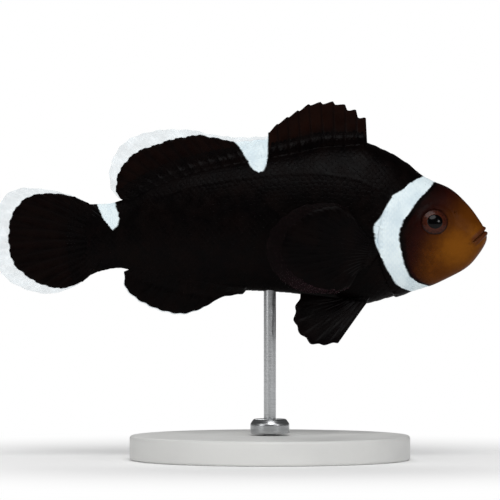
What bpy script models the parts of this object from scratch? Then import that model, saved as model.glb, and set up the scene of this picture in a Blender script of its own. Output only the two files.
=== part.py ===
"""A black ocellaris clownfish, life size, held over a round base by one upright rod.

The fish swims level and faces +X, with its right side towards -Y. Its own sizes are in millimetres, with
heights counted from a level midline through the snout, and an empty lifts the pieces over the base.
The rod stands on the world's Z axis and the base's underside is at Z = 0.
"""

import bmesh
import bpy
import numpy as np
from mathutils import Matrix

MM = 0.001  # the sizes below are millimetres, and the scene is in metres

# Places of the fish over its base.
MIDLINE_HEIGHT = 36.5  # from the table to the fish's midline
ROD_STATION = 0.8  # where along the fish the rod meets its belly

# The body seen from the side, as (station, height) from the snout's tip back.
TIP = 36.4
BACK = (
    (TIP, -0.1), (36.1, 1.2), (35.3, 2.6), (33.3, 5.3), (30.3, 8.0), (27.7, 9.2), (25.7, 10.3), (23.5, 12.1),
    (19.5, 14.4), (15.5, 15.7), (10.0, 15.5), (3.3, 14.1), (-4.0, 12.8), (-12.0, 11.1), (-19.2, 8.4),
    (-23.5, 6.1), (-26.0, 5.4), (-29.0, 5.2),
)
BELLY = (
    (TIP, -0.1), (36.0, -1.2), (35.2, -2.3), (33.3, -4.6), (30.3, -6.4), (26.4, -8.2), (20.5, -9.8),
    (16.2, -10.8), (10.7, -10.1), (3.8, -9.0), (-7.4, -8.5), (-15.6, -7.2), (-20.5, -5.9), (-24.0, -5.1),
    (-26.7, -5.6), (-29.0, -6.4),
)
# Half the body's width at its widest level, as (station, half width).
HALF_WIDTH = (
    (TIP, 0.0), (35.8, 1.5), (34.0, 2.6), (31.0, 3.5), (27.6, 4.3), (23.5, 5.1), (19.0, 5.7), (14.0, 5.8),
    (8.0, 5.4), (0.0, 4.6), (-8.0, 3.5), (-16.0, 2.5), (-23.0, 1.6), (-29.0, 0.9),
)
WIDEST_LEVEL = 0.46  # of the way up from the belly to the back
RING_SIDES = 24

# Lengths of the body, as stations.
SNOUT = 36.3
HEAD_REAR = 16.0  # behind the furthest point of the opercle margin
TRUNK_FRONT = 25.0  # ahead of the nape's end of that margin
STALK_FRONT = -22.5
STALK_REAR = -28.5
HEAD_RINGS = 18
TRUNK_RINGS = 22
STALK_RINGS = 6
RING_BUNCHING = 1.6  # rings stand closer together towards the snout by this power

# Gaps and plates.
GAP = 0.3  # between touching pieces
PLATE_DEPTH = 1.1  # of a gill cover
FIN_THICKNESS = 0.6

# The opercle margin parts head from trunk: an oval across the fish, reaching past the snout.
MARGIN_CENTRE = (41.3, -1.0)
MARGIN_RADII = (23.0, 18.2)
MARGIN_SIDES = 96
# A gill cover: an oval, cut short behind by the opercle margin.
COVER_CENTRE = (21.3, -1.6)
COVER_RADII = (3.9, 6.0)
COVER_SIDES = 32
CHEEK_FRONT = 29.0  # the plates' beds stay behind this station

# The lower jaw, from the lips along the gape to its corner and down to the throat.
LIPS = (37.5, 1.5)
GAPE_CORNER = (33.7, -1.15)
THROAT = (30.0, -7.5)
CHIN = (37.5, -7.5)
JAW_SHIFT = (-0.25, 0.25)  # of the cut round it, which leaves the gap

# An eye: a flattened ball that stands a little out of its socket.
EYE_STATION = 27.6
EYE_HEIGHT = 2.44
EYE_RADII = (2.8, 1.6, 2.55)
EYE_BULGE = 0.6  # past the side of the head
EYE_SEGMENTS = 20
EYE_RINGS = 12

# Fins: each fans from a root to a free edge of (station, height) points, with pale margins counted in.
SPINES = 10
SPINE_NOTCH = 0.6  # how far the membrane falls behind each spine's tip
SPINY_ROOT = (16.7, 0.6)
SPINY_EDGE = (
    (16.5, 19.8), (14.3, 21.5), (10.9, 22.3), (7.8, 22.1), (5.4, 20.9), (3.5, 19.7), (1.8, 18.5), (0.6, 17.3),
)
SOFT_RAYS = 16
SOFT_ROOT = (0.25, -23.4)
SOFT_EDGE = (
    (0.2, 16.4), (-4.0, 16.4), (-9.0, 16.9), (-12.0, 17.6), (-15.9, 17.7), (-19.8, 17.1), (-22.8, 15.8),
    (-24.8, 13.3), (-25.6, 10.5), (-25.3, 7.9), (-24.0, 6.4),
)
ANAL_RAYS = 13
ANAL_ROOT = (-3.1, -22.4)
ANAL_EDGE = (
    (-3.7, -9.5), (-7.1, -10.0), (-9.0, -11.0), (-11.0, -12.0), (-13.9, -12.7), (-16.9, -12.2),
    (-19.8, -11.0), (-21.8, -9.7), (-23.2, -7.9), (-23.2, -5.7),
)
TAIL_RAYS = 15
TAIL_ROOT = ((-28.8, 5.0), (-28.8, -6.1))
TAIL_EDGE = (
    (-29.2, 5.7), (-31.6, 6.8), (-35.6, 7.8), (-39.5, 8.1), (-42.2, 7.2), (-43.5, 5.5), (-43.9, 2.7),
    (-43.9, -2.7), (-43.5, -5.4), (-42.3, -7.0), (-40.5, -8.1), (-37.6, -9.1), (-35.6, -9.35), (-32.6, -8.7),
    (-30.2, -7.5), (-29.1, -6.7),
)
PECTORAL_RAYS = 16
PECTORAL_ROOT = ((16.2, 0.4), (15.4, -5.2))
PECTORAL_EDGE = (
    (13.4, 4.7), (10.7, 5.6), (6.5, 5.2), (2.9, 3.2), (0.7, 0.6), (0.0, -2.1), (0.9, -5.0), (3.3, -7.6),
    (6.8, -9.1), (11.0, -9.3), (13.6, -8.4),
)
PECTORAL_SPREAD = 0.22  # outwards for each millimetre from the root
PECTORAL_BOW = 0.7  # outwards, half way along the rays
PELVIC_RAYS = 9
PELVIC_ROOT = (16.7, 12.4)
PELVIC_ROOT_OUT = 1.4  # of its root from the belly's middle
PELVIC_EDGE = (
    (11.8, -17.5), (9.7, -17.9), (7.9, -17.7), (6.4, -16.6), (5.2, -15.1), (4.7, -13.6), (4.9, -11.8),
    (5.9, -9.4),
)
PELVIC_SPREAD = 0.38
PELVIC_BOW = 0.3
SOFT_NOTCH = 0.16  # between the tips of soft rays
PELVIC_NOTCH = 0.35

# The display stand.
BASE_RADIUS = 23.0
BASE_HEIGHT = 4.0
BASE_ROUNDING = 0.6
BASE_SIDES = 72
COLLAR_RADIUS = 3.2
COLLAR_HEIGHT = 2.4
ROD_RADIUS = 1.0
ROD_SIDES = 32
ROD_DEPTH_IN_BASE = 2.5
ROD_DEPTH_IN_BELLY = 3.0

# Finishes: base colour, roughness, metallic.
BLACK_SKIN = ((0.006, 0.004, 0.005), 0.45, 0.0)
BROWN_SKIN = ((0.13, 0.045, 0.006), 0.45, 0.0)
WHITE_SKIN = ((0.70, 0.78, 0.80), 0.45, 0.0)
BLACK_FIN = ((0.010, 0.006, 0.006), 0.5, 0.0)
BROWN_FIN = ((0.016, 0.007, 0.005), 0.5, 0.0)
EYE = ((0.020, 0.008, 0.006), 0.08, 0.0)
PAINT = ((0.66, 0.66, 0.64), 0.5, 0.0)
STEEL = ((0.55, 0.56, 0.57), 0.3, 1.0)


def clear_scene():
    """Takes every object out of the open file."""
    for old in list(bpy.data.objects):
        bpy.data.objects.remove(old)


def new_collection(name, shown=True):
    collection = bpy.data.collections.new(name)
    collection.hide_render = not shown
    bpy.context.scene.collection.children.link(collection)
    return collection


def through(knots, at):
    """Values at `at` on a smooth curve through (place, value) knots, which never overshoots them.

    The slope at a knot is the harmonic mean of the slopes on its two sides, or zero where they differ in
    sign, and each stretch between knots is the cubic that keeps the slopes at both its ends.
    """
    place, value = np.array(sorted(map(tuple, knots)), float).T
    step = np.diff(place)
    rise = np.diff(value) / step
    product = rise[1:] * rise[:-1]
    same_way = product > 0
    inner = np.where(same_way, 2 * product / np.where(same_way, rise[1:] + rise[:-1], 1), 0)
    slope = np.concatenate([rise[:1], inner, rise[-1:]])
    i = np.clip(np.searchsorted(place, at) - 1, 0, len(step) - 1)
    t = (at - place[i]) / step[i]
    ends = value[i] * (1 + 2 * t) * (1 - t) ** 2 + value[i + 1] * t**2 * (3 - 2 * t)
    return ends + step[i] * t * (1 - t) * (slope[i] * (1 - t) - slope[i + 1] * t)


def body_line(knots, stations):
    """A body outline at these stations: smooth in the root of the distance from the snout's tip.

    That root makes every outline leave the tip square to the fish's length, so the snout is round.
    """
    rooted = [(np.sqrt(TIP - station), value) for station, value in knots]
    return through(rooted, np.sqrt(TIP - stations))


def along(outline, count):
    """`count` points evenly spaced on a smooth curve through (station, height) points."""
    points = np.array(outline, float)
    run = np.concatenate([[0], np.cumsum(np.linalg.norm(np.diff(points, axis=0), axis=1))])
    at = np.linspace(0, run[-1], count)
    return np.column_stack([through(np.column_stack([run, points[:, i]]), at) for i in (0, 1)])


def section(stations):
    """Back, belly, widest level and half width of the body at each station."""
    back = body_line(BACK, stations)
    belly = body_line(BELLY, stations)
    level = belly + WIDEST_LEVEL * (back - belly)
    return back, belly, level, body_line(HALF_WIDTH, stations)


def flank(stations, heights):
    """How far out the body's side is at these stations and heights."""
    back, belly, level, wide = section(stations)
    reach = np.where(heights > level, back - level, level - belly)
    return wide * np.sqrt(np.clip(1 - ((heights - level) / reach) ** 2, 0, 1))


def body_rings(stations, inset=0.0):
    """Oval rings round the body, one to a station, with the sides brought in by `inset`."""
    back, belly, level, wide = (part[:, None] for part in section(stations))
    turn = np.linspace(0, 2 * np.pi, RING_SIDES, endpoint=False)[None]
    up = np.sin(turn)
    height = level + up * np.where(up > 0, back - level, level - belly)
    out = (wide - inset) * np.cos(turn)
    return np.stack(np.broadcast_arrays(stations[:, None], out, height), axis=-1)


def bunched(front, rear, count):
    """Stations from `front` to `rear`, closest together at the front."""
    return front - (front - rear) * np.linspace(0, 1, count) ** RING_BUNCHING


def mesh_object(name, collection, parent, bm, smooth=True):
    """An object from a bmesh in millimetres, its faces turned outwards."""
    bmesh.ops.recalc_face_normals(bm, faces=bm.faces)
    bmesh.ops.scale(bm, vec=(MM, MM, MM), verts=bm.verts)
    mesh = bpy.data.meshes.new(name)
    bm.to_mesh(mesh)
    bm.free()
    if smooth:
        mesh.shade_smooth()
        mesh.set_sharp_from_angle(angle=np.radians(40))
    made = bpy.data.objects.new(name, mesh)
    made.parent = parent
    collection.objects.link(made)
    return made


def skinned(rings):
    """A bmesh with a skin over closed rings and one face across each end."""
    bm = bmesh.new()
    loops = [[bm.verts.new(point) for point in ring] for ring in rings]
    for near, far in zip(loops, loops[1:]):
        for i in range(len(near)):
            j = (i + 1) % len(near)
            bm.faces.new((near[i], near[j], far[j], far[i]))
    bm.faces.new(loops[0])
    bm.faces.new(loops[-1])
    return bm


def open_sheet(grid):
    """A bmesh with one face in each cell of a grid of points."""
    bm = bmesh.new()
    rows = [[bm.verts.new(point) for point in row] for row in grid]
    for near, far in zip(rows, rows[1:]):
        for i in range(len(near) - 1):
            bm.faces.new((near[i], near[i + 1], far[i + 1], far[i]))
    return bm


def cylinder(radius, depth, sides, matrix):
    bm = bmesh.new()
    bmesh.ops.create_cone(
        bm, cap_ends=True, segments=sides, radius1=radius, radius2=radius, depth=depth, matrix=matrix
    )
    return bm


def oval_across(centre, radii, sides, out):
    """A bmesh of an oval cylinder along Y, from out[0] to out[1]."""
    middle = Matrix.Translation((centre[0], sum(out) / 2, centre[1]))
    shape = Matrix.Diagonal((radii[0], abs(out[1] - out[0]), radii[1], 1))
    return cylinder(1, 1, sides, middle @ shape @ Matrix.Rotation(np.pi / 2, 4, "X"))


def prism_across(corners, shift, out):
    """A bmesh of a flat outline of (station, height) corners, moved by `shift` and drawn along Y."""
    bm = bmesh.new()
    near = [bm.verts.new((x + shift[0], out[0], z + shift[1])) for x, z in corners]
    bm.faces.new(near)
    made = bmesh.ops.extrude_face_region(bm, geom=bm.faces[:])["geom"]
    moved = [item for item in made if isinstance(item, bmesh.types.BMVert)]
    bmesh.ops.translate(bm, vec=(0, out[1] - out[0], 0), verts=moved)
    return bm


def cut(piece, operation, cutter):
    """Adds a Boolean with the default exact solver."""
    modifier = piece.modifiers.new(f"{operation.lower()} {cutter.name}", "BOOLEAN")
    modifier.operation = operation
    modifier.object = cutter


def paint(piece, finish):
    """Gives a piece a material of its own."""
    colour, roughness, metallic = finish
    material = bpy.data.materials.new(piece.name)
    material.use_nodes = True
    shader = material.node_tree.nodes["Principled BSDF"]
    shader.inputs["Base Color"].default_value = (*colour, 1)
    shader.inputs["Roughness"].default_value = roughness
    shader.inputs["Metallic"].default_value = metallic
    piece.data.materials.append(material)


class Bench:
    """Holds the collections and the fish's empty, and makes pieces and cutters in them."""

    def __init__(self):
        self.parts = new_collection("clownfish")
        self.cutters = new_collection("cutters", shown=False)
        self.fish = bpy.data.objects.new("fish", None)
        self.fish.location = (-ROD_STATION * MM, 0, MIDLINE_HEIGHT * MM)
        self.parts.objects.link(self.fish)

    def piece(self, name, finish, bm, smooth=True):
        """A piece of the fish, in the fish's own frame."""
        made = mesh_object(name, self.parts, self.fish, bm, smooth)
        paint(made, finish)
        return made

    def stand_piece(self, name, finish, bm):
        """A piece of the stand, in the world's frame."""
        made = mesh_object(name, self.parts, None, bm)
        paint(made, finish)
        return made

    def cutter(self, name, bm, of_fish=True):
        """A shape that only cuts others."""
        made = mesh_object(name, self.cutters, self.fish if of_fish else None, bm, smooth=False)
        made.hide_render = True
        made.display_type = "WIRE"
        return made

    def fin(self, name, finish, root, edge, rows, bow=0.0):
        """A fin from matching root and edge points, bowed along Y and given its thickness by Solidify."""
        share = np.linspace(0, 1, rows + 1)[:, None, None]
        bowed = 4 * share * (1 - share) * np.array([0, bow, 0])
        made = self.piece(name, finish, open_sheet(root + share * (edge - root) + bowed))
        solid = made.modifiers.new("thickness", "SOLIDIFY")
        solid.thickness = FIN_THICKNESS * MM
        solid.offset = 0
        return made


def side_name(side):
    return "right" if side < 0 else "left"


def notched(root, edge, depth):
    """The edge with every second point, between two ray tips, drawn back towards the root."""
    inward = root - edge
    length = np.linalg.norm(inward, axis=1, keepdims=True)
    pull = np.minimum(depth, length / 3) / length
    between = (np.arange(len(edge)) % 2 == 1)[:, None]
    return edge + np.where(between, pull * inward, 0)


def on_midplane(outline):
    """(station, height) points as points on the fish's middle plane."""
    return np.column_stack([outline[:, 0], np.zeros(len(outline)), outline[:, 1]])


def add_head(bench):
    """The head with its lower jaw, gill covers and eyes, cut from one shape of the body."""
    stations = bunched(SNOUT, HEAD_REAR, HEAD_RINGS)
    margin = bench.cutter(
        "opercle_margin", oval_across(MARGIN_CENTRE, MARGIN_RADII, MARGIN_SIDES, (-20, 20))
    )
    corners = (LIPS, GAPE_CORNER, THROAT, CHIN)
    jaw_shape = bench.cutter("jaw_shape", prism_across(corners, (0, 0), (-8, 8)))
    jaw_room = bench.cutter("jaw_room", prism_across(corners, JAW_SHIFT, (-8, 8)))

    head = bench.piece("head", BROWN_SKIN, skinned(body_rings(stations)))
    cut(head, "INTERSECT", margin)
    cut(head, "DIFFERENCE", jaw_room)
    jaw = bench.piece("lower_jaw", BROWN_SKIN, skinned(body_rings(stations)))
    cut(jaw, "INTERSECT", jaw_shape)
    for side in (-1, 1):
        add_gill_cover(bench, side, stations, margin, head)
        add_eye(bench, side, head)


def add_gill_cover(bench, side, stations, margin, head):
    """A plate that follows the cheek, in a bed cut into the head."""
    name = side_name(side)
    reach = (side * 0.5, side * 9)
    cheek = stations[stations < CHEEK_FRONT]
    deep = bench.cutter(f"bed_floor_{name}", skinned(body_rings(cheek, PLATE_DEPTH + GAP)))
    bed = bench.cutter(
        f"cover_bed_{name}",
        oval_across(COVER_CENTRE, [radius + GAP for radius in COVER_RADII], COVER_SIDES, reach),
    )
    cut(bed, "DIFFERENCE", deep)
    cut(head, "DIFFERENCE", bed)

    under = bench.cutter(f"cover_back_{name}", skinned(body_rings(cheek, PLATE_DEPTH)))
    shape = bench.cutter(f"cover_shape_{name}", oval_across(COVER_CENTRE, COVER_RADII, COVER_SIDES, reach))
    cover = bench.piece(f"gill_cover_{name}", WHITE_SKIN, skinned(body_rings(stations)))
    cut(cover, "INTERSECT", margin)
    cut(cover, "INTERSECT", shape)
    cut(cover, "DIFFERENCE", under)


def add_eye(bench, side, head):
    """An eye and the socket it sits in."""
    out = flank(np.array([EYE_STATION]), np.array([EYE_HEIGHT]))[0] + EYE_BULGE - EYE_RADII[1]
    centre = Matrix.Translation((EYE_STATION, side * out, EYE_HEIGHT))
    upright = Matrix.Rotation(np.pi / 2, 4, "X")

    def ball(grown):
        bm = bmesh.new()
        shape = Matrix.Diagonal((*(radius + grown for radius in EYE_RADII), 1))
        bmesh.ops.create_uvsphere(
            bm, u_segments=EYE_SEGMENTS, v_segments=EYE_RINGS, radius=1, matrix=centre @ shape @ upright
        )
        return bm

    cut(head, "DIFFERENCE", bench.cutter(f"socket_{side_name(side)}", ball(GAP)))
    bench.piece(f"eye_{side_name(side)}", EYE, ball(0))


def add_trunk(bench):
    """The trunk behind the opercle margin, with a blind hole for the rod, and the tail stalk."""
    stations = np.linspace(TRUNK_FRONT, STALK_FRONT + GAP / 2, TRUNK_RINGS)
    trunk = bench.piece("trunk", BLACK_SKIN, skinned(body_rings(stations)))
    grown = [radius + GAP for radius in MARGIN_RADII]
    cut(trunk, "DIFFERENCE", bench.cutter(
        "trunk_front", oval_across(MARGIN_CENTRE, grown, MARGIN_SIDES, (-20, 20))
    ))
    depth = ROD_DEPTH_IN_BELLY + GAP
    start = body_line(BELLY, ROD_STATION) - GAP
    hole = Matrix.Translation((ROD_STATION, 0, start + (depth + GAP) / 2))
    cut(trunk, "DIFFERENCE", bench.cutter(
        "belly_hole", cylinder(ROD_RADIUS + GAP, depth + GAP, ROD_SIDES, hole)
    ))
    stations = np.linspace(STALK_FRONT - GAP / 2, STALK_REAR, STALK_RINGS)
    bench.piece("tail_stalk", BLACK_SKIN, skinned(body_rings(stations)))


def add_middle_fins(bench):
    """The fins on the fish's middle plane: two on the back, one under the belly and the tail."""
    rows = (
        ("dorsal_fin_spiny", BROWN_FIN, SPINES, SPINY_ROOT, SPINY_EDGE, BACK, GAP, SPINE_NOTCH),
        ("dorsal_fin_soft", BLACK_FIN, SOFT_RAYS, SOFT_ROOT, SOFT_EDGE, BACK, GAP, SOFT_NOTCH),
        ("anal_fin", BLACK_FIN, ANAL_RAYS, ANAL_ROOT, ANAL_EDGE, BELLY, -GAP, SOFT_NOTCH),
    )
    for name, finish, rays, ends, outline, ridge, lift, notch in rows:
        edge = on_midplane(along(outline, 2 * rays - 1))
        stations = np.linspace(*ends, len(edge))
        root = on_midplane(np.column_stack([stations, body_line(ridge, stations) + lift]))
        bench.fin(name, finish, root, notched(root, edge, notch), 3)

    edge = on_midplane(along(TAIL_EDGE, 4 * TAIL_RAYS - 1))
    root = on_midplane(along(TAIL_ROOT, len(edge)))
    bench.fin("tail_fin", BLACK_FIN, root, notched(root, edge, SOFT_NOTCH), 5)


def add_paired_fins(bench, side):
    """A pectoral fin behind the gill cover and a pelvic fin under the belly."""
    edge = on_midplane(along(PECTORAL_EDGE, 2 * PECTORAL_RAYS - 1))
    root = on_midplane(along(PECTORAL_ROOT, len(edge)))
    from_root = np.linalg.norm(edge - root, axis=1)
    root[:, 1] = flank(root[:, 0], root[:, 2]) + GAP + FIN_THICKNESS / 2
    edge[:, 1] = root[:, 1] + PECTORAL_SPREAD * from_root
    edge = notched(root, edge, SOFT_NOTCH)
    mirror = np.array([1, side, 1])
    name = f"pectoral_fin_{side_name(side)}"
    bench.fin(name, BROWN_FIN, root * mirror, edge * mirror, 4, side * PECTORAL_BOW)

    edge = on_midplane(along(PELVIC_EDGE, 2 * PELVIC_RAYS - 1))
    stations = np.linspace(*PELVIC_ROOT, len(edge))
    _, belly, level, wide = section(stations)
    fall = np.sqrt(1 - (PELVIC_ROOT_OUT / wide) ** 2)
    heights = level - (level - belly) * fall - 1.5 * GAP
    root = np.column_stack([stations, np.full(len(edge), PELVIC_ROOT_OUT), heights])
    edge[:, 1] = PELVIC_ROOT_OUT + PELVIC_SPREAD * np.linalg.norm((edge - root)[:, ::2], axis=1)
    edge = notched(root, edge, PELVIC_NOTCH)
    name = f"pelvic_fin_{side_name(side)}"
    bench.fin(name, BLACK_FIN, root * mirror, edge * mirror, 4, side * PELVIC_BOW)


def add_stand(bench):
    """A round base, a collar on it, and the rod that runs from a hole in the base into the belly."""
    base = bench.stand_piece("stand_base", PAINT, cylinder(
        BASE_RADIUS, BASE_HEIGHT, BASE_SIDES, Matrix.Translation((0, 0, BASE_HEIGHT / 2))
    ))
    rounding = base.modifiers.new("rounding", "BEVEL")
    rounding.width = BASE_ROUNDING * MM
    rounding.segments = 2
    rounding.limit_method = "ANGLE"
    depth = ROD_DEPTH_IN_BASE + GAP
    hole = Matrix.Translation((0, 0, BASE_HEIGHT + GAP - (depth + GAP) / 2))
    cut(base, "DIFFERENCE", bench.cutter(
        "base_hole", cylinder(ROD_RADIUS + GAP, depth + GAP, ROD_SIDES, hole), of_fish=False
    ))

    collar_middle = Matrix.Translation((0, 0, BASE_HEIGHT + GAP + COLLAR_HEIGHT / 2))
    collar = bench.stand_piece(
        "stand_collar", STEEL, cylinder(COLLAR_RADIUS, COLLAR_HEIGHT, ROD_SIDES, collar_middle)
    )
    rounding = collar.modifiers.new("rounding", "BEVEL")
    rounding.width = BASE_ROUNDING * MM
    rounding.segments = 2
    rounding.limit_method = "ANGLE"
    cut(collar, "DIFFERENCE", bench.cutter(
        "collar_bore", cylinder(ROD_RADIUS + GAP, 2 * COLLAR_HEIGHT, ROD_SIDES, collar_middle), of_fish=False
    ))

    foot = BASE_HEIGHT - ROD_DEPTH_IN_BASE
    top = MIDLINE_HEIGHT + body_line(BELLY, ROD_STATION) + ROD_DEPTH_IN_BELLY
    bench.stand_piece("stand_rod", STEEL, cylinder(
        ROD_RADIUS, top - foot, ROD_SIDES, Matrix.Translation((0, 0, (top + foot) / 2))
    ))


def main():
    clear_scene()
    bench = Bench()
    add_head(bench)
    add_trunk(bench)
    add_middle_fins(bench)
    for side in (-1, 1):
        add_paired_fins(bench, side)
    add_stand(bench)


main()
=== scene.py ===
"""The looks of a black ocellaris clownfish on its display stand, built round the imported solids.

The fish is one skin, grown from the same outlines as the solids, under a coat of overlapping scales. Sizes
are in millimetres in the fish's own frame: X runs to the snout, Z up from the midline, and the right side is
towards -Y. Meshes are made in metres in the world's frame as they are handed to Blender.
"""

import logging
from dataclasses import dataclass, field
from enum import Enum
from functools import cached_property
from typing import Callable, Protocol

import bpy
import numpy as np
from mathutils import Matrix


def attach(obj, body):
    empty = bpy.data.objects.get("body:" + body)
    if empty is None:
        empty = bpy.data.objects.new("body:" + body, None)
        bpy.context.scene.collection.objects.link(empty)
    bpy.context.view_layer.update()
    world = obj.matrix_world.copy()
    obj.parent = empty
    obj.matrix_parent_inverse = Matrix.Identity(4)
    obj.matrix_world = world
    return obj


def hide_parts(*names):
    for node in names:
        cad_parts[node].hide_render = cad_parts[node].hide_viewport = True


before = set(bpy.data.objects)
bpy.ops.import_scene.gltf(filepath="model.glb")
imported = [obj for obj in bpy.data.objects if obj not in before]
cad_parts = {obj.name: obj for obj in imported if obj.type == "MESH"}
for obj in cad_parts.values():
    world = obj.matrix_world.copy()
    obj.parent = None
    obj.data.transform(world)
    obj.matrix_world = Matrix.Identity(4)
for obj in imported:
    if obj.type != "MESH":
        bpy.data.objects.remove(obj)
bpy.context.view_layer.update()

LOG = logging.getLogger("clownfish")
Array = np.ndarray
Outline = tuple[tuple[float, float], ...]
Colour = tuple[float, float, float, float]
Place = tuple[float, float]  # a station and a height
Socket = bpy.types.NodeSocket
HalfOf = Callable[[Array, Array, Array], Array]  # half a blade's thickness from share, along and length

MM = 0.001
FISH_PLACE = np.array([-0.8, 0.0, 36.5])  # the fish's frame in the world's, in millimetres
TIP = 36.4  # the snout's foremost station
COAT_DEPTH = 0.11  # the skin lies this far inside the solids, under the scales
BARE_DEPTH = 0.02  # and this far where it is bare
# (height, station) of the head's foremost scales; ahead of them the skin is bare
SCALE_FRONT = (
    (12.5, 27.5), (9.4, 28.6), (7.6, 27.6), (6.0, 25.9), (4.6, 24.8), (2.4, 24.2), (0.6, 24.6), (-0.5, 26.6),
    (-1.5, 29.2), (-3.0, 30.4), (-5.0, 30.0), (-7.0, 28.2), (-9.5, 26.0),
)
SIDES = (-1, 1)  # right and left
NOISE_ROUGHNESS = 0.55


def side_name(side: int) -> str:
    """Returns the word for a side of the fish: -1 is right, 1 is left."""
    return "right" if side < 0 else "left"


# Curves and measures
# -------------------


def through(knots: Outline | Array, at: Array | float) -> Array:
    """Reads a smooth curve through (place, value) knots that never overshoots them.

    The slope at a knot is the harmonic mean of the slopes on its two sides, or zero where they differ in
    sign, and each stretch between knots is the cubic that keeps the slopes at both its ends.

    Args:
        knots: (place, value) pairs in any order.
        at: places to read the curve at.

    Returns:
        The curve's values, in the shape of `at`.
    """
    place, value = np.array(sorted(map(tuple, knots)), float).T
    at = np.clip(np.asarray(at, float), place[0], place[-1])
    step = np.diff(place)
    rise = np.diff(value) / step
    product = rise[1:] * rise[:-1]
    same_way = product > 0
    inner = np.where(same_way, 2 * product / np.where(same_way, rise[1:] + rise[:-1], 1), 0)
    slope = np.concatenate([rise[:1], inner, rise[-1:]])
    i = np.clip(np.searchsorted(place, at) - 1, 0, len(step) - 1)
    t = (at - place[i]) / step[i]
    ends = value[i] * (1 + 2 * t) * (1 - t) ** 2 + value[i + 1] * t**2 * (3 - 2 * t)
    return ends + step[i] * t * (1 - t) * (slope[i] * (1 - t) - slope[i + 1] * t)


def curve_at(outline: Outline | Array, share: Array) -> Array:
    """Reads a smooth curve through (station, height) points by its share of the chord length.

    Args:
        outline: the points in order.
        share: shares of the length, 0 to 1.

    Returns:
        Points on the middle plane, with a last axis of X, Y = 0, Z.
    """
    points = np.array(outline, float)
    run = np.concatenate([[0], np.cumsum(np.linalg.norm(np.diff(points, axis=0), axis=1))])
    at = np.asarray(share) * run[-1]
    x, z = (through(np.column_stack([run, points[:, i]]), at) for i in (0, 1))
    return np.stack([x, np.zeros_like(x), z], axis=-1)


def smooth_step(low: float, high: float, value: Array) -> Array:
    """Returns 0 below `low`, 1 above `high` and the cubic 3t^2 - 2t^3 between them."""
    t = np.clip((value - low) / (high - low), 0, 1)
    return t * t * (3 - 2 * t)


def bell(value: Array, centre: float, width: float) -> Array:
    """Returns exp(-((value - centre) / width)^2), a bump of height 1."""
    return np.exp(-(((value - centre) / width) ** 2))


def unit(vectors: Array) -> Array:
    """Returns the vectors along the last axis at length 1."""
    return vectors / np.maximum(np.linalg.norm(vectors, axis=-1, keepdims=True), 1e-9)


def grid_quads(rows: int, columns: int, wrap: bool = False) -> Array:
    """Lists the cells of a grid of points stored row after row.

    Args:
        rows: number of rows.
        columns: number of points in each row.
        wrap: whether each row closes on itself.

    Returns:
        Point numbers, four to a cell.
    """
    i, j = np.meshgrid(np.arange(rows - 1), np.arange(columns if wrap else columns - 1), indexing="ij")
    k = (j + 1) % columns
    near, far = i * columns, (i + 1) * columns
    return np.stack([near + j, near + k, far + k, far + j], axis=-1).reshape(-1, 4)


# Meshes
# ------


@dataclass
class Patch:
    """A surface as arrays: points in the fish's frame, faces by point number, and values at the points."""

    points: Array
    faces: list[Array]
    values: dict[str, Array] = field(default_factory=dict)
    place: Array | None = None  # each point's place on the coat's unwrap

    @staticmethod
    def joined(patches: list["Patch"]) -> "Patch":
        """Puts several patches into one, side by side.

        Args:
            patches: patches with the same named values.

        Returns:
            One patch whose point numbers run on from patch to patch.
        """
        starts = np.cumsum([0] + [len(patch.points) for patch in patches[:-1]])
        return Patch(
            points=np.concatenate([patch.points for patch in patches]),
            faces=[face + start for patch, start in zip(patches, starts) for face in patch.faces],
            values={name: np.concatenate([p.values[name] for p in patches]) for name in patches[0].values},
            place=None if patches[0].place is None else np.concatenate([p.place for p in patches]),
        )

    def turned_out(self) -> "Patch":
        """Returns the patch with its faces turned over if it encloses a negative volume."""
        volume = 0.0
        for face in self.faces:
            for k in range(1, face.shape[1] - 1):
                a, b, c = (self.points[face[:, n]] for n in (0, k, k + 1))
                volume += np.einsum("ij,ij->i", a, np.cross(b, c)).sum()
        if volume < 0:
            self.faces = [face[:, ::-1] for face in self.faces]
        return self

    def build(self, name: str, finish: "Finish", offset: Array = FISH_PLACE) -> bpy.types.Object:
        """Makes the patch a mesh object at the origin.

        Args:
            name: the object's name.
            finish: the finish that it wears.
            offset: the frame's place in the world, in millimetres.

        Returns:
            The linked object, shaded smooth.
        """
        mesh = bpy.data.meshes.new(name)
        faces = [row for face in self.faces for row in face.tolist()]
        mesh.from_pydata(((self.points + offset) * MM).tolist(), [], faces)
        for value_name, values in self.values.items():
            attribute = mesh.attributes.new(value_name, "FLOAT", "POINT")
            attribute.data.foreach_set("value", values.astype(np.float32).ravel())
        if self.place is not None:
            corners = np.empty(len(mesh.loops), np.int32)
            mesh.loops.foreach_get("vertex_index", corners)
            layer = mesh.uv_layers.new(name="OFBake")
            layer.data.foreach_set("uv", self.place[corners].astype(np.float32).ravel())
        mesh.shade_smooth()
        mesh.set_sharp_from_angle(angle=np.radians(50))
        mesh.materials.append(finish.material())
        made = bpy.data.objects.new(name, mesh)
        bpy.context.scene.collection.objects.link(made)
        return made


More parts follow.
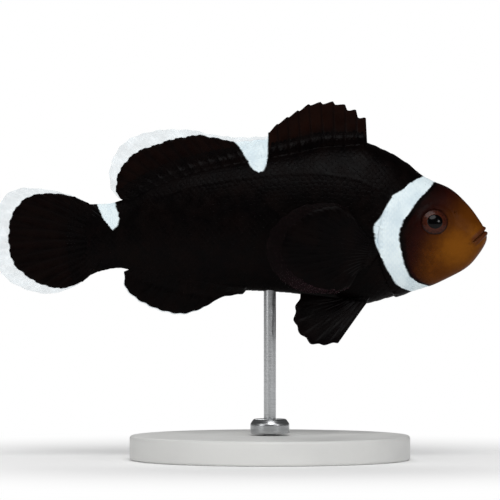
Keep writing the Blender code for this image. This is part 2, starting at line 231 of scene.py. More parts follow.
def turned_solid(profile: Array, sides: int, frame_axes: Array, centre: Array) -> Patch:
    """Turns a (radius, height) profile round an axis and closes both ends in a point.

    A point is centre + radius * (cos a * first + sin a * second) + height * third.

    Args:
        profile: (radius, height) points whose first and last radius is 0.
        sides: points round the axis.
        frame_axes: the three unit axes, one to a row; the third is the axis of turning.
        centre: the profile's origin.

    Returns:
        A closed patch that faces outwards, with each point's radius and angle as values.
    """
    angle = np.linspace(0, 2 * np.pi, sides, endpoint=False)
    radius, height = profile[1:-1, 0, None], profile[1:-1, 1, None]
    first, second, third = frame_axes
    ring = np.cos(angle)[None, :, None] * first + np.sin(angle)[None, :, None] * second
    body = centre + radius[..., None] * ring + height[..., None] * third
    rows = len(profile) - 2
    points = np.concatenate([body.reshape(-1, 3), centre + profile[[0, -1], 1][:, None] * third])
    j = np.arange(sides)
    k = (j + 1) % sides
    start = np.column_stack([np.full(sides, rows * sides), j, k])
    end = np.column_stack([np.full(sides, rows * sides + 1), (rows - 1) * sides + k, (rows - 1) * sides + j])
    radii = np.concatenate([np.repeat(profile[1:-1, 0], sides), [0, 0]])
    around = np.concatenate([np.tile(angle, rows), [0, 0]])
    values = {"radius": radii, "around": around}
    faces = [grid_quads(rows, sides, wrap=True), start, end]
    return Patch(points, [face[:, ::-1] for face in faces], values).turned_out()


# Markings: where the fish is white, brown or black
# -------------------------------------------------


@dataclass(frozen=True)
class Bar:
    """A white bar between two edges, each a station that depends on the height."""

    front: Outline  # (height, station)
    rear: Outline

    def depth(self, x: Array, z: Array) -> Array:
        """Measures how far inside the bar each point is, in millimetres, negative outside.

        It is the smaller of the distances to the two edges along X. Past the ends of the edges' heights
        the distance to that end is taken off.

        Args:
            x: stations.
            z: heights.

        Returns:
            Depths in the shape of `x`.
        """
        heights = [height for height, _ in self.front]
        past = np.maximum(0, np.maximum(min(heights) - z, z - max(heights)))
        return np.minimum(x - through(self.rear, z), through(self.front, z) - x) - past


@dataclass(frozen=True)
class Markings:
    """The fish's colours as depths and shares at each point, the same on both sides."""

    head_bar: Bar = Bar(
        front=(
            (9.4, 28.0), (7.5, 26.45), (5.8, 24.8), (3.7, 23.35), (2.7, 22.6), (0.2, 21.85), (-1.9, 22.15),
            (-4.6, 22.8), (-6.3, 23.6), (-7.4, 25.0), (-8.2, 27.1), (-9.5, 28.5),
        ),
        rear=(
            (11.5, 27.2), (10.2, 25.85), (7.7, 22.42), (6.7, 20.95), (4.6, 19.5), (3.1, 18.68), (2.0, 17.88),
            (0.8, 17.75), (-0.8, 17.9), (-3.4, 19.0), (-6.1, 20.5), (-7.8, 21.6), (-8.6, 23.2), (-9.3, 25.0),
        ),
    )
    saddle: Bar = Bar(
        front=((10.5, -0.8), (10.9, -0.1), (11.6, 0.25), (12.4, 0.4), (18.5, 0.5)),
        rear=((10.5, -0.8), (11.0, -1.6), (11.6, -2.2), (13.0, -3.1), (15.2, -4.6), (17.0, -7.0),
            (18.5, -9.0)),
    )
    tail_saddle: Bar = Bar(
        front=((1.5, -24.45), (1.9, -24.05), (2.6, -23.85), (3.6, -23.95), (5.0, -24.35),
            (6.1, -24.7), (7.0, -25.1)),
        rear=((1.5, -25.05), (1.9, -25.45), (2.6, -26.05), (3.8, -26.75), (5.3, -27.45), (7.0, -28.2)),
    )
    border: float = 0.7  # the black line that edges the bar in front
    dusk: float = 0.22  # the least share of brown ahead of that line
    rise: tuple[float, float] = (0.54, -0.47)  # the way in which the face grows browner
    rise_start: tuple[float, float] = (24.2, 2.0)
    rise_span: tuple[float, float] = (-0.4, 6.6)
    cheek: tuple[float, float] = (31.6, -2.0)  # the middle of the lightest brown
    cheek_width: float = 3.8
    snout: tuple[float, float] = (34.6, -0.2)
    snout_width: float = 2.6

    def white(self, x: Array, z: Array) -> Array:
        """Returns the depth inside the nearest white bar, in millimetres, negative outside all three."""
        bars = (self.head_bar, self.saddle, self.tail_saddle)
        return np.max([bar.depth(x, z) for bar in bars], axis=0)

    def face(self, x: Array, z: Array) -> Array:
        """Measures how brown the skin is: 1 at the snout and cheek, 0 behind the head bar.

        The brown rises along a slope that runs forwards and down from the back of the eye, so that the
        nape, the brow and the skin behind the eye stay dark. It also rises past a thin black border in
        front of the bar.

        Args:
            x: stations.
            z: heights.

        Returns:
            Shares in the shape of `x`.
        """
        ahead = x - through(self.head_bar.front, z)
        border = smooth_step(0.1, self.border + 0.6, ahead) * (0.6 + 0.4 * smooth_step(1.0, 5.0, ahead))
        slope = self.rise[0] * (x - self.rise_start[0]) + self.rise[1] * (z - self.rise_start[1])
        return border * (self.dusk + (1 - self.dusk) * smooth_step(*self.rise_span, slope))

    def warm(self, x: Array, z: Array) -> Array:
        """Returns how light the brown is: most on the lower cheek and snout, less at the chin."""
        cheek = bell(np.hypot(x - self.cheek[0], 1.1 * (z - self.cheek[1])), 0.0, self.cheek_width)
        snout = 0.75 * bell(np.hypot(x - self.snout[0], z - self.snout[1]), 0.0, self.snout_width)
        return np.clip(np.maximum(cheek, snout), 0, 1)

    def values(self, points: Array) -> dict[str, Array]:
        """Returns the named values that every flesh finish reads, at points of the fish."""
        x, z = points[..., 0].ravel(), points[..., 2].ravel()
        return {"white": self.white(x, z), "face": self.face(x, z), "warm": self.warm(x, z)}


# Reliefs: small forms raised from or sunk into the skin
# ------------------------------------------------------


class Relief(Protocol):
    """A form in the skin."""

    def lift(self, points: Array) -> Array:
        """Returns how far the skin moves outwards at each point, in millimetres."""


@dataclass(frozen=True)
class Mouth:
    """A closed, slanting mouth between two lips."""

    corner: tuple[float, float] = (33.9, -1.0)
    front: tuple[float, float] = (36.2, 1.1)
    groove: float = 0.30
    groove_width: float = 0.10
    lip: float = 0.26
    lip_place: float = 0.40
    lip_width: float = 0.27
    lower_share: float = 0.9  # of the upper lip's height, for the lower one
    crease: float = 0.14

    def gape(self, points: Array) -> tuple[Array, Array]:
        """Measures points against the gape's line, which runs from the mouth's corner to its front.

        Args:
            points: places on the skin.

        Returns:
            Distances over the line, and distances along it from the corner.
        """
        x, z = points[..., 0] - self.corner[0], points[..., 2] - self.corner[1]
        run = np.array(self.front) - np.array(self.corner)
        length = np.hypot(*run)
        return (z * run[0] - x * run[1]) / length, (x * run[0] + z * run[1]) / length

    def lips(self, points: Array) -> Array:
        """Returns 1 on the lips and 0 away from them, for their redder colour."""
        over, along = self.gape(points)
        return smooth_step(1.0, 0.5, np.abs(over)) * smooth_step(-0.5, 0.8, along)

    def lift(self, points: Array) -> Array:
        """Sinks a groove along the gape and raises a rounded lip on each side of it.

        With d the distance over the gape's line and a the share of the way in from the corner, the lift
        is a * (lip * bell(d at +place) + lip * bell(d at -place) - groove * bell(d at 0)). Behind the
        corner a shallow crease runs on down and back.

        Args:
            points: places on the bare skin.

        Returns:
            Lifts in millimetres.
        """
        over, along = self.gape(points)
        inside = smooth_step(-0.9, 1.3, along)
        upper = self.lip * bell(over, self.lip_place, self.lip_width)
        lower = self.lower_share * self.lip * bell(over, -self.lip_place, self.lip_width)
        behind = bell(over, -0.78, 0.10) + bell(over, 0.86, 0.10)
        crease = self.crease * bell(along, -0.35, 0.5) * bell(over + 0.9 * (along + 0.35), 0.0, 0.16)
        shut = self.groove * bell(over, 0.0, self.groove_width) * smooth_step(-0.3, 0.5, along)
        return inside * (upper + lower - 0.05 * behind) - shut - crease


@dataclass(frozen=True)
class Orbit:
    """The socket round an eye, with a raised rim of skin."""

    station: float = 27.6
    height: float = 2.44
    radii: tuple[float, float] = (2.28, 2.06)
    depth: float = 1.0
    rim: float = 0.17

    def distance(self, points: Array) -> Array:
        """Returns the distance from the eye's centre as a share of the socket's oval, in the side view."""
        across = (points[..., 0] - self.station) / self.radii[0]
        up = (points[..., 2] - self.height) / self.radii[1]
        return np.hypot(across, up)

    def lift(self, points: Array) -> Array:
        """Sinks a bowl inside the oval and raises a soft rim just outside it.

        With r the share of the oval, the bowl falls smoothly to -depth between 1.02 and 0.74, and the
        rim is a bell at 1.1 over a broader, lower one at 1.3.

        Args:
            points: places on the bare skin.

        Returns:
            Lifts in millimetres.
        """
        r = self.distance(points)
        bowl = -self.depth * smooth_step(1.02, 0.74, r)
        rim = self.rim * bell(r, 1.10, 0.10) + 0.10 * bell(r, 1.3, 0.22)
        furrow = -0.06 * bell(r, 1.48, 0.08)
        return bowl + rim + furrow


@dataclass(frozen=True)
class Nostril:
    """A small round nostril with a raised edge."""

    station: float = 31.1
    height: float = 4.0
    radius: float = 0.24

    def lift(self, points: Array) -> Array:
        """Returns a pit inside the radius and a thin ring round it, as bells of the distance."""
        r = np.hypot(points[..., 0] - self.station, points[..., 2] - self.height) / self.radius
        return -0.30 * bell(r, 0.0, 0.75) + 0.10 * bell(r, 1.45, 0.45)


@dataclass(frozen=True)
class GillCover:
    """The opercle's free margin, and the preopercle's edge in front of it, on an oval's arc."""

    centre: tuple[float, float] = (41.3, -1.0)
    radii: tuple[float, float] = (23.0, 18.2)
    step: float = 0.34
    slit: float = 0.42
    top: float = 7.2
    scarp_ahead: float = 4.7  # how far ahead of the margin the preopercle's edge lies at its middle
    scarp: float = 0.15
    scarp_line: float = 0.07
    sub_line: float = 0.10
    teeth: float = 0.05

    def ahead(self, x: Array, z: Array) -> Array:
        """Returns the distance ahead of the margin in millimetres, negative behind it."""
        r = np.hypot((x - self.centre[0]) / self.radii[0], (z - self.centre[1]) / self.radii[1])
        return (1 - r) * self.radii[0]

    def lift(self, points: Array) -> Array:
        """Raises the cover towards its margin, drops it at a slit behind, and cuts three lines ahead.

        With a the distance ahead of the margin, the cover rises by step * smooth(a over the last 3 mm),
        falls over 0.2 mm, and the slit is a bell just behind. The preopercle is a low scarp further ahead
        and the subopercle a line that leaves the margin low down. Everything fades above the gill
        opening and under the throat.

        Args:
            points: places on the bare skin.

        Returns:
            Lifts in millimetres.
        """
        x, z = points[..., 0], points[..., 2]
        a = self.ahead(x, z)
        fade = smooth_step(self.top, self.top - 2.6, z) * smooth_step(-10.6, -9.0, z)
        cover = self.step * smooth_step(3.4, 0.5, a) * smooth_step(-0.10, 0.12, a)
        slit = -self.slit * bell(a, -0.30, 0.26)
        place = a - self.scarp_ahead - 0.035 * (z + 2.5) ** 2
        cheek = smooth_step(4.2, 1.0, np.abs(z + 1.6) - 3.2)
        scarp = self.scarp * smooth_step(-0.35, 0.35, place) * smooth_step(2.8, 0.4, place) * cheek
        scarp_line = -self.scarp_line * bell(place, -0.3, 0.25) * cheek
        sub = a - 0.62 * (z + 8.6)
        low = smooth_step(-8.6, -7.6, z) * smooth_step(-2.0, -3.4, z)
        sub_line = -self.sub_line * bell(sub, 0, 0.13) * low
        teeth = self.teeth * np.cos(z * 9.0) * bell(a, 0.35, 0.5)
        return fade * (cover + slit + teeth + sub_line * (a > 0)) + scarp + scarp_line


@dataclass(frozen=True)
class LateralLine:
    """The faint ridge of pored scales along the upper side."""

    line: Outline = ((19.0, 7.4), (14.0, 9.6), (6.0, 10.4), (-4.0, 9.6), (-12.0, 8.2), (-17.0, 6.6))
    rise: float = 0.05

    def lift(self, points: Array) -> Array:
        """Returns a low ridge along the line, fading at both its ends."""
        x, z = points[..., 0], points[..., 2]
        ends = smooth_step(19.5, 18.0, x) * smooth_step(-18.0, -16.0, x)
        return self.rise * bell(z, through(self.line, x), 0.28) * ends


# The body
# --------


@dataclass(frozen=True)
class Body:
    """The body from snout to tail fin as ovals round stations, with reliefs on top."""

    back: Outline = (
        (TIP, -0.1), (36.1, 1.2), (35.3, 2.6), (33.3, 5.3), (30.3, 8.0), (27.7, 9.2), (25.7, 10.3),
        (23.5, 12.1),
        (19.5, 14.4), (15.5, 15.7), (10.0, 15.5), (3.3, 14.1), (-4.0, 12.8), (-12.0, 11.1), (-19.2, 8.4),
        (-23.5, 6.1), (-26.0, 5.5), (-29.0, 5.45),
    )
    belly: Outline = (
        (TIP, -0.1), (36.05, -1.3), (35.25, -2.6), (33.3, -4.85), (30.3, -6.6), (26.4, -8.3), (20.5, -9.95),
        (16.2, -10.9), (10.7, -10.2), (3.8, -9.15), (-7.4, -8.5), (-15.6, -7.2), (-20.5, -5.9), (-24.0, -5.1),
        (-26.7, -5.6), (-29.0, -6.4),
    )
    half_width: Outline = (
        (TIP, 0.0), (35.8, 1.5), (34.0, 2.6), (31.0, 3.5), (27.6, 4.3), (23.5, 5.1), (19.0, 5.7), (14.0, 5.8),
        (8.0, 5.4), (0.0, 4.6), (-8.0, 3.5), (-16.0, 2.5), (-23.0, 1.6), (-29.0, 0.9),
    )
    widest_level: float = 0.46  # of the way up from belly to back
    rear: float = -28.9
    reliefs: tuple[Relief, ...] = (Mouth(), Orbit(), Nostril(), GillCover(), LateralLine())

    def line(self, knots: Outline, x: Array) -> Array:
        """Returns an outline at stations, smooth in the root of the distance from the snout's tip."""
        rooted = tuple((float(np.sqrt(TIP - station)), value) for station, value in knots)
        return through(rooted, np.sqrt(np.maximum(TIP - np.asarray(x), 0)))

    def section(self, x: Array) -> tuple[Array, Array, Array, Array]:
        """Returns the back, belly, widest level and half width at stations."""
        back, belly = self.line(self.back, x), self.line(self.belly, x)
        return back, belly, belly + self.widest_level * (back - belly), self.line(self.half_width, x)

    def bare(self, x: Array, turn: Array) -> Array:
        """Places points on the body without its reliefs.

        The point is (x, half width * cos turn, level + reach * sin turn), with the reach to the back
        above the widest level and to the belly below it.

        Args:
            x: stations.
            turn: angles round the body, 0 at the left side and a quarter turn at the back.

        Returns:
            Points, with a last axis of X, Y, Z.
        """
        back, belly, level, wide = self.section(x)
        up = np.sin(turn)
        z = level + up * np.where(up > 0, back - level, level - belly)
        return np.stack(np.broadcast_arrays(x, wide * np.cos(turn), z), axis=-1)

    def normal(self, x: Array, turn: Array) -> Array:
        """Returns outward unit normals of the bare body, from differences along the root and the turn."""
        root = np.sqrt(np.maximum(TIP - x, 0.0009))
        step, bit = 0.01, 0.004
        along = self.bare(TIP - (root + step) ** 2, turn) - self.bare(TIP - (root - step) ** 2, turn)
        around = self.bare(TIP - root**2, turn + bit) - self.bare(TIP - root**2, turn - bit)
        return unit(np.cross(along, around))

    def surface(self, x: Array, turn: Array, over: Array | float = 0.0, covered: bool = False) -> Array:
        """Places points on the finished skin, moved out from the bare body by reliefs and by `over`.

        Args:
            x: stations.
            turn: angles round the body.
            over: heights over the skin.
            covered: whether the points lie under the gill cover, so that its own relief is left out.

        Returns:
            Points, with a last axis of X, Y, Z.
        """
        bare = self.bare(x, turn)
        reliefs = [relief for relief in self.reliefs if not (covered and isinstance(relief, GillCover))]
        rise = np.sum([relief.lift(bare) for relief in reliefs], axis=0) - self.inset(bare) + over
        return bare + self.normal(x, turn) * np.expand_dims(rise, -1)

    def inset(self, bare: Array) -> Array:
        """Returns how far the skin lies inside the solids: the coat's depth, fading on the bare snout."""
        scaled = smooth_step(-0.8, 1.6, through(SCALE_FRONT, bare[..., 2]) - bare[..., 0])
        return BARE_DEPTH + (COAT_DEPTH - BARE_DEPTH) * scaled

    def flank(self, x: Array, z: Array) -> Array:
        """Returns how far out the bare side is at stations and heights."""
        back, belly, level, wide = self.section(x)
        reach = np.where(z > level, back - level, level - belly)
        return wide * np.sqrt(np.clip(1 - ((z - level) / reach) ** 2, 0, 1))

    def stations(self) -> Array:
        """Returns the skin's stations: evenly spaced in the root near the snout, then ever wider apart."""
        head = TIP - np.linspace(0.10, np.sqrt(TIP - 32.5), 46) ** 2
        face = np.linspace(32.5, 24.0, 62)[1:]
        cheek = np.linspace(24.0, 16.5, 62)[1:]
        trunk = np.linspace(16.5, self.rear, 104)[1:]
        return np.concatenate([head, face, cheek, trunk])

    def patch(self, markings: Markings, around: int = 168) -> Patch:
        """Makes the body's closed skin: rings at the stations and a fan over each end.

        Args:
            markings: what to read the colours from.
            around: points in each ring.

        Returns:
            The patch, facing outwards.
        """
        x = self.stations()
        turn = np.linspace(0, 2 * np.pi, around, endpoint=False)
        rings = self.surface(*np.broadcast_arrays(x[:, None], turn))
        points = rings.reshape(-1, 3)
        snout = np.array([[TIP - BARE_DEPTH, 0.0, -0.1]])
        stern = rings[-1].mean(axis=0, keepdims=True)
        j = np.arange(around)
        k = (j + 1) % around
        count = len(points)
        first = np.column_stack([np.full(around, count), k, j])
        last_row = (len(x) - 1) * around
        last = np.column_stack([np.full(around, count + 1), last_row + j, last_row + k])
        points = np.concatenate([points, snout, stern])
        values = markings.values(points) | {"tea": np.zeros(len(points)), "lips": Mouth().lips(points)}
        return Patch(points, [grid_quads(len(x), around, wrap=True), first, last], values).turned_out()


# Fins
# ----


class RayKind(Enum):
    """What stiffens a fin."""

    SPINES = "spines"
    SOFT = "soft"


@dataclass(frozen=True)
class Fin:
    """A fin as a fan of rays from a root to a free edge."""

    name: str
    kind: RayKind
    rays: int
    edge: Outline
    root: Callable[[Array], Array]  # root points at shares along the root
    margin: Outline = ((0.0, 0.0), (1.0, 0.0))  # (share along the edge, width of the clear margin)
    notch: Outline = ((0.0, 0.16), (1.0, 0.16))  # (share, how deep the edge dips between two rays)
    buried: float = 1.2  # how far the blade runs on inside the body
    plunge: float = 0.0  # how far its buried end turns in towards the middle plane
    flare: tuple[float, float] = (0.85, 0.35)  # how far the root's fillet stands out, front and rear
    flare_reach: float = 0.75
    tea: float = 0.0  # how much brown shows through the dark skin
    thick: float = 0.20  # half the membrane's thickness at the root
    thin: float = 0.07  # and at the edge
    spread: float = 0.0
    bow: float = 0.0
    wave: float = 0.0
    side: int = 1
    columns_per_ray: int = 8
    rows: int = 30

    def columns(self) -> tuple[Array, Array]:
        """Returns each column's share along the fin and the length of the ray there."""
        share = np.linspace(0, 1, (self.rays - 1) * self.columns_per_ray + 1)
        return share, self.frame(share, np.ones_like(share))[1]

    def frame(self, share: Array, along: Array) -> tuple[Array, Array]:
        """Places points of the fin's middle sheet.

        A ray runs straight from root to edge, drawn in between ray tips by the notch. The sheet spreads
        outwards in step with the distance from the root, bows by 4r(1-r), and its buried end turns in.

        Args:
            share: shares along the fin, 0 at the front ray and 1 at the last.
            along: shares of the way out along the ray, below 0 inside the body.

        Returns:
            The points, and each ray's length.
        """
        root, edge = self.root(share), curve_at(self.edge, share)
        flat = np.array([1.0, 0.0, 1.0])
        length = np.linalg.norm((edge - root) * flat, axis=-1)
        inward = (root - edge) * flat / length[..., None]
        pull = np.minimum(through(self.notch, share), length / 3) * (1 - self.tip_shape(share))
        reach = edge * flat + inward * pull[..., None]
        points = root * flat + along[..., None] * (reach - root * flat)
        out = along * length
        bowed = self.bow * 4 * np.clip(along, 0, 1) * (1 - np.clip(along, 0, 1))
        turned = -self.plunge * (np.clip(-out / self.buried, 0, 1) ** 1.5)
        lateral = self.side * (root[..., 1] + self.spread * np.maximum(out, 0) + bowed + turned)
        ripple = self.wave * np.sin(share * 11 + along * 2.2) * np.clip(along, 0, 1) ** 1.5
        points[..., 1] = lateral + ripple
        return points, length

    def tip_shape(self, share: Array) -> Array:
        """Shapes the edge from ray to ray: 1 at a tip, 0 where the edge dips deepest.

        Soft rays dip half way between two tips. Behind a spine the membrane slopes down all the way to
        the front of the next one, which it meets low.
        """
        place = share * (self.rays - 1)
        if self.kind is RayKind.SPINES:
            behind = place - np.floor(place)
            return np.maximum(1 - smooth_step(0.0, 0.85, behind), smooth_step(0.84, 1.0, behind))
        return np.cos(np.pi * (place - np.round(place))) ** 2

    def ridge(self, share: Array, along: Array) -> Array:
        """Measures the ray's relief: 1 on a ray's crest and 0 on the membrane between rays.

        A soft ray forks twice as it runs out: its branches stand at +-d from its middle, where d grows
        to a quarter of the spacing past two fifths of the way. A spine stays single and narrows.

        Args:
            share: shares along the fin.
            along: shares of the way out.

        Returns:
            Heights from 0 to 1.
        """
        place = share * (self.rays - 1)
        across = np.abs(place - np.round(place))
        if self.kind is RayKind.SPINES:
            return bell(across, 0.0, 0.13 - 0.07 * np.clip(along, 0, 1))
        fork = 0.25 * smooth_step(0.35, 0.95, along)
        return bell(across, fork, 0.15 - 0.05 * np.clip(along, 0, 1))

    def half(self, share: Array, along: Array, length: Array) -> Array:
        """Works out half the blade's thickness: thin at the edge, ridged by rays and flared at the root.

        The flare falls off as exp(-out / reach) above the root and goes on straight below it, so that
        it meets the body's slope inside the skin.

        Args:
            share: shares along the fin.
            along: shares of the way out along the ray.
            length: the rays' lengths.

        Returns:
            Half thicknesses in millimetres.
        """
        out = along * length
        run = np.clip(along, 0, 1)
        membrane = self.thick + (self.thin - self.thick) * run**0.7
        ray = (0.13 if self.kind is RayKind.SPINES else 0.075) * (1 - 0.6 * run) * self.ridge(share, along)
        steep = out / self.flare_reach
        fillet = np.where(steep > 0, np.exp(-np.maximum(steep, 0)), 1 - np.maximum(steep, -0.9))
        return membrane + ray + (self.flare[0] + share * (self.flare[1] - self.flare[0])) * fillet

    def ink_end(self, share: Array) -> Array:
        """Returns where the dark skin ends along each ray, with the pigment running out on the rays."""
        _, length = self.frame(share, np.ones_like(share))
        width = through(self.margin, share)
        streak = 0.14 * (self.ridge(share, np.full_like(share, 0.8)) - 0.5)
        run_on = np.where(width > 0.12, width - streak * np.minimum(width, 1.0), width)
        return 1 - np.clip(run_on, 0, None) / length

    def blade(self, start: Array, end: Array, half_of: HalfOf) -> tuple[Patch, Array, Array]:
        """Makes a closed blade between two lines across the rays.

        Each column runs from `start` to `end` up one face and back down the other, so a ring of points
        closes at the outer edge and again at the inner one. Ladders of quads close the first and last
        columns.

        Args:
            start: share along the ray where each column begins.
            end: share where it ends.
            half_of: half the thickness from (share, along, length).

        Returns:
            The patch without values, and the share and along of its points.
        """
        share = self.columns()[0][:, None]
        count = len(share)
        steps = np.linspace(0, 1, self.rows)[None] ** 0.9
        along = start[:, None] + steps * (end - start)[:, None]
        share = np.broadcast_to(share, along.shape)
        middle, length = self.frame(share, along)
        bit = 1e-3
        ahead, _ = self.frame(np.clip(share + bit, 0, 1), along)
        behind, _ = self.frame(np.clip(share - bit, 0, 1), along)
        further, _ = self.frame(share, along + bit)
        normal = unit(np.cross(ahead - behind, further - middle))
        half = half_of(share, along, length)
        taper = np.clip((1 - steps) / 0.08, 0, 1) ** 0.5
        ends = np.clip(np.minimum(share, 1 - share) * (self.rays - 1) / 0.35, 0.12, 1) ** 0.5
        half = np.maximum(half * taper * ends, 0.012)
        half[:, -1] = 0
        front, back = middle + normal * half[..., None], middle - normal * half[..., None]
        ring = np.concatenate([front, back[:, -2::-1]], axis=1)
        around = ring.shape[1]
        faces = [grid_quads(count, around, wrap=True)]
        low = np.arange(self.rows - 2)
        for column, flip in ((0, 1), (count - 1, -1)):
            base = column * around
            rungs = np.column_stack([low, low + 1, around - 2 - low, around - 1 - low]) + base
            tip = np.array([[self.rows - 2, self.rows - 1, self.rows]]) + base
            faces += [rungs[:, ::-flip], tip[:, ::-flip]]
        shares = np.concatenate([share, share[:, -2::-1]], axis=1).ravel()
        alongs = np.concatenate([along, along[:, -2::-1]], axis=1).ravel()
        return Patch(ring.reshape(-1, 3), faces).turned_out(), shares, alongs

    def patch(self, markings: Markings) -> Patch:
        """Makes the fin's dark blade, from inside the body to where its pigment ends."""
        share, length = self.columns()
        made, shares, alongs = self.blade(-self.buried / length, self.ink_end(share), self.half)
        tea = self.tea * smooth_step(0.05, 0.55, alongs) * (1 - 0.6 * self.ridge(shares, alongs))
        made.values = markings.values(made.points) | {"tea": tea, "lips": np.zeros(len(made.points))}
        return made

    def film(self) -> Patch:
        """Makes the fin's clear margin, from just inside the dark blade's edge to the free edge."""
        share, length = self.columns()
        end = self.ink_end(share)
        start = end - 0.16 / length

        def half_of(shares: Array, alongs: Array, lengths: Array) -> Array:
            past = (alongs - start[:, None]) * lengths
            return (0.05 + 0.03 * self.ridge(shares, alongs)) * smooth_step(0.0, 0.35, past)

        made, shares, alongs = self.blade(start, np.ones_like(end), half_of)
        made.values = {"ray": self.ridge(shares, alongs), "low": smooth_step(0.55, 0.8, shares)}
        return made


def middle_root(body: Body, ridge: Outline, front: float, rear: float) -> Callable[[Array], Array]:
    """Returns the root of a fin on the middle plane, along the back or the belly.

    Args:
        body: the body that carries the fin.
        ridge: the body's back or belly outline.
        front: station of the first ray's root.
        rear: station of the last ray's root.

    Returns:
        A function from shares along the root to points.
    """

    def root(share: Array) -> Array:
        x = front + share * (rear - front)
        return np.stack([x, np.zeros_like(x), body.line(ridge, x)], axis=-1)

    return root


def side_root(body: Body, start: Place, end: Place, out: float) -> Callable[[Array], Array]:
    """Returns the root of a pectoral fin on the flank, `out` millimetres off it."""

    def root(share: Array) -> Array:
        x, z = (start[i] + share * (end[i] - start[i]) for i in (0, 1))
        return np.stack([x, body.flank(x, z) + out, z], axis=-1)

    return root


def belly_root(body: Body, front: float, rear: float, out: float) -> Callable[[Array], Array]:
    """Returns the root of a pelvic fin under the belly, `out` millimetres from the middle plane."""

    def root(share: Array) -> Array:
        x = front + share * (rear - front)
        _, belly, level, wide = body.section(x)
        z = level - (level - belly) * np.sqrt(1 - (out / wide) ** 2)
        return np.stack([x, np.full_like(x, out), z], axis=-1)

    return root


def fins_of(body: Body) -> list[Fin]:
    """Lists the fish's eight fins.

    Args:
        body: the body that carries them.

    Returns:
        The spiny and soft dorsal, anal and tail fins, then the pectorals and pelvics of both sides.
    """
    spiny = Fin(
        "dorsal_fin_spiny", RayKind.SPINES, 10,
        edge=(
            (16.55, 19.5), (14.3, 21.2), (10.9, 22.25), (7.8, 22.0), (5.4, 20.8), (3.5, 19.6), (1.8, 18.4),
            (0.5, 17.1),
        ),
        root=middle_root(body, body.back, 16.75, 0.5),
        notch=((0.0, 1.1), (0.14, 0.9), (0.3, 0.5), (0.6, 0.3), (1.0, 0.15)),
        flare=(0.9, 0.8), tea=1.0, thick=0.22, columns_per_ray=12,
    )
    soft = Fin(
        "dorsal_fin_soft", RayKind.SOFT, 16,
        edge=(
            (0.75, 16.6), (-4.0, 16.4), (-9.0, 16.9), (-12.0, 17.6), (-15.9, 17.7), (-19.8, 17.1),
            (-22.8, 15.8), (-24.8, 13.3), (-25.6, 10.5), (-25.3, 7.9), (-24.0, 6.4),
        ),
        root=middle_root(body, body.back, 0.9, -23.4),
        margin=(
            (0.0, 0.4), (0.1, 0.62), (0.18, 0.92), (0.26, 0.58), (0.33, 0.7), (0.42, 1.4), (0.52, 2.15),
            (0.62, 2.7), (0.72, 2.42), (0.85, 1.55), (0.94, 0.85), (1.0, 0.3),
        ),
        flare=(0.8, 0.28), tea=0.45, wave=0.12,
    )
    anal = Fin(
        "anal_fin", RayKind.SOFT, 13,
        edge=(
            (-3.7, -9.4), (-7.1, -9.95), (-9.0, -11.05), (-11.0, -12.1), (-13.9, -12.8), (-16.9, -12.3),
            (-19.8, -11.1), (-21.8, -9.8), (-23.2, -7.9), (-23.2, -5.7),
        ),
        root=middle_root(body, body.belly, -3.1, -22.4),
        margin=((0.0, 0.05), (0.3, 0.1), (0.6, 0.16), (0.85, 0.16), (1.0, 0.05)),
        flare=(0.75, 0.28), wave=0.08,
    )
    tail = Fin(
        "tail_fin", RayKind.SOFT, 17,
        edge=(
            (-29.2, 5.7), (-31.6, 6.8), (-35.6, 7.8), (-39.5, 8.1), (-42.2, 7.2), (-43.5, 5.5), (-43.9, 2.7),
            (-43.9, -2.7), (-43.5, -5.4), (-42.3, -7.0), (-40.5, -8.1), (-37.6, -9.1), (-35.6, -9.35),
            (-32.6, -8.7), (-30.2, -7.5), (-29.1, -6.7),
        ),
        root=lambda share: np.stack(
            [np.full_like(share, -28.6), np.zeros_like(share), 5.3 + share * (-6.2 - 5.3)], axis=-1
        ),
        margin=(
            (0.0, 0.2), (0.08, 0.45), (0.14, 0.95), (0.2, 1.6), (0.27, 2.45), (0.34, 2.78), (0.42, 2.0),
            (0.5, 1.7), (0.58, 2.1), (0.66, 2.82), (0.74, 2.3), (0.82, 1.7), (0.9, 0.75), (1.0, 0.3),
        ),
        buried=2.4, flare=(0.35, 0.35), flare_reach=2.4, tea=0.25, wave=0.12, rows=38,
    )
    fins = [spiny, soft, anal, tail]
    for side in SIDES:
        fins.append(Fin(
            f"pectoral_fin_{side_name(side)}", RayKind.SOFT, 16,
            edge=(
                (13.4, 4.7), (10.7, 5.6), (6.5, 5.2), (2.9, 3.2), (0.7, 0.6), (0.0, -2.1), (0.9, -5.0),
                (3.3, -7.6), (6.8, -9.1), (11.0, -9.3), (13.6, -8.4),
            ),
            root=side_root(body, (16.2, 0.4), (15.4, -5.2), 0.45),
            margin=((0.0, 0.2), (0.1, 0.8), (0.3, 2.2), (0.5, 2.5), (0.7, 2.3), (0.9, 0.9), (1.0, 0.3)),
            buried=2.2, plunge=1.7, flare=(0.5, 0.5), flare_reach=1.3,
            spread=0.22, bow=0.7, side=side, rows=34,
        ))
        fins.append(Fin(
            f"pelvic_fin_{side_name(side)}", RayKind.SOFT, 7,
            edge=(
                (11.9, -17.3), (9.7, -17.65), (7.9, -17.6), (6.4, -16.6), (5.2, -15.1), (4.7, -13.6),
                (4.9, -11.8), (5.9, -9.2),
            ),
            root=belly_root(body, 16.8, 12.4, 1.4),
            margin=((0.0, 0.0), (1.0, 0.0)), notch=((0.0, 0.35), (1.0, 0.3)), flare=(0.4, 0.4),
            flare_reach=0.7, spread=0.38, bow=0.3, side=side, columns_per_ray=10,
        ))
    return fins


# Scales
# ------


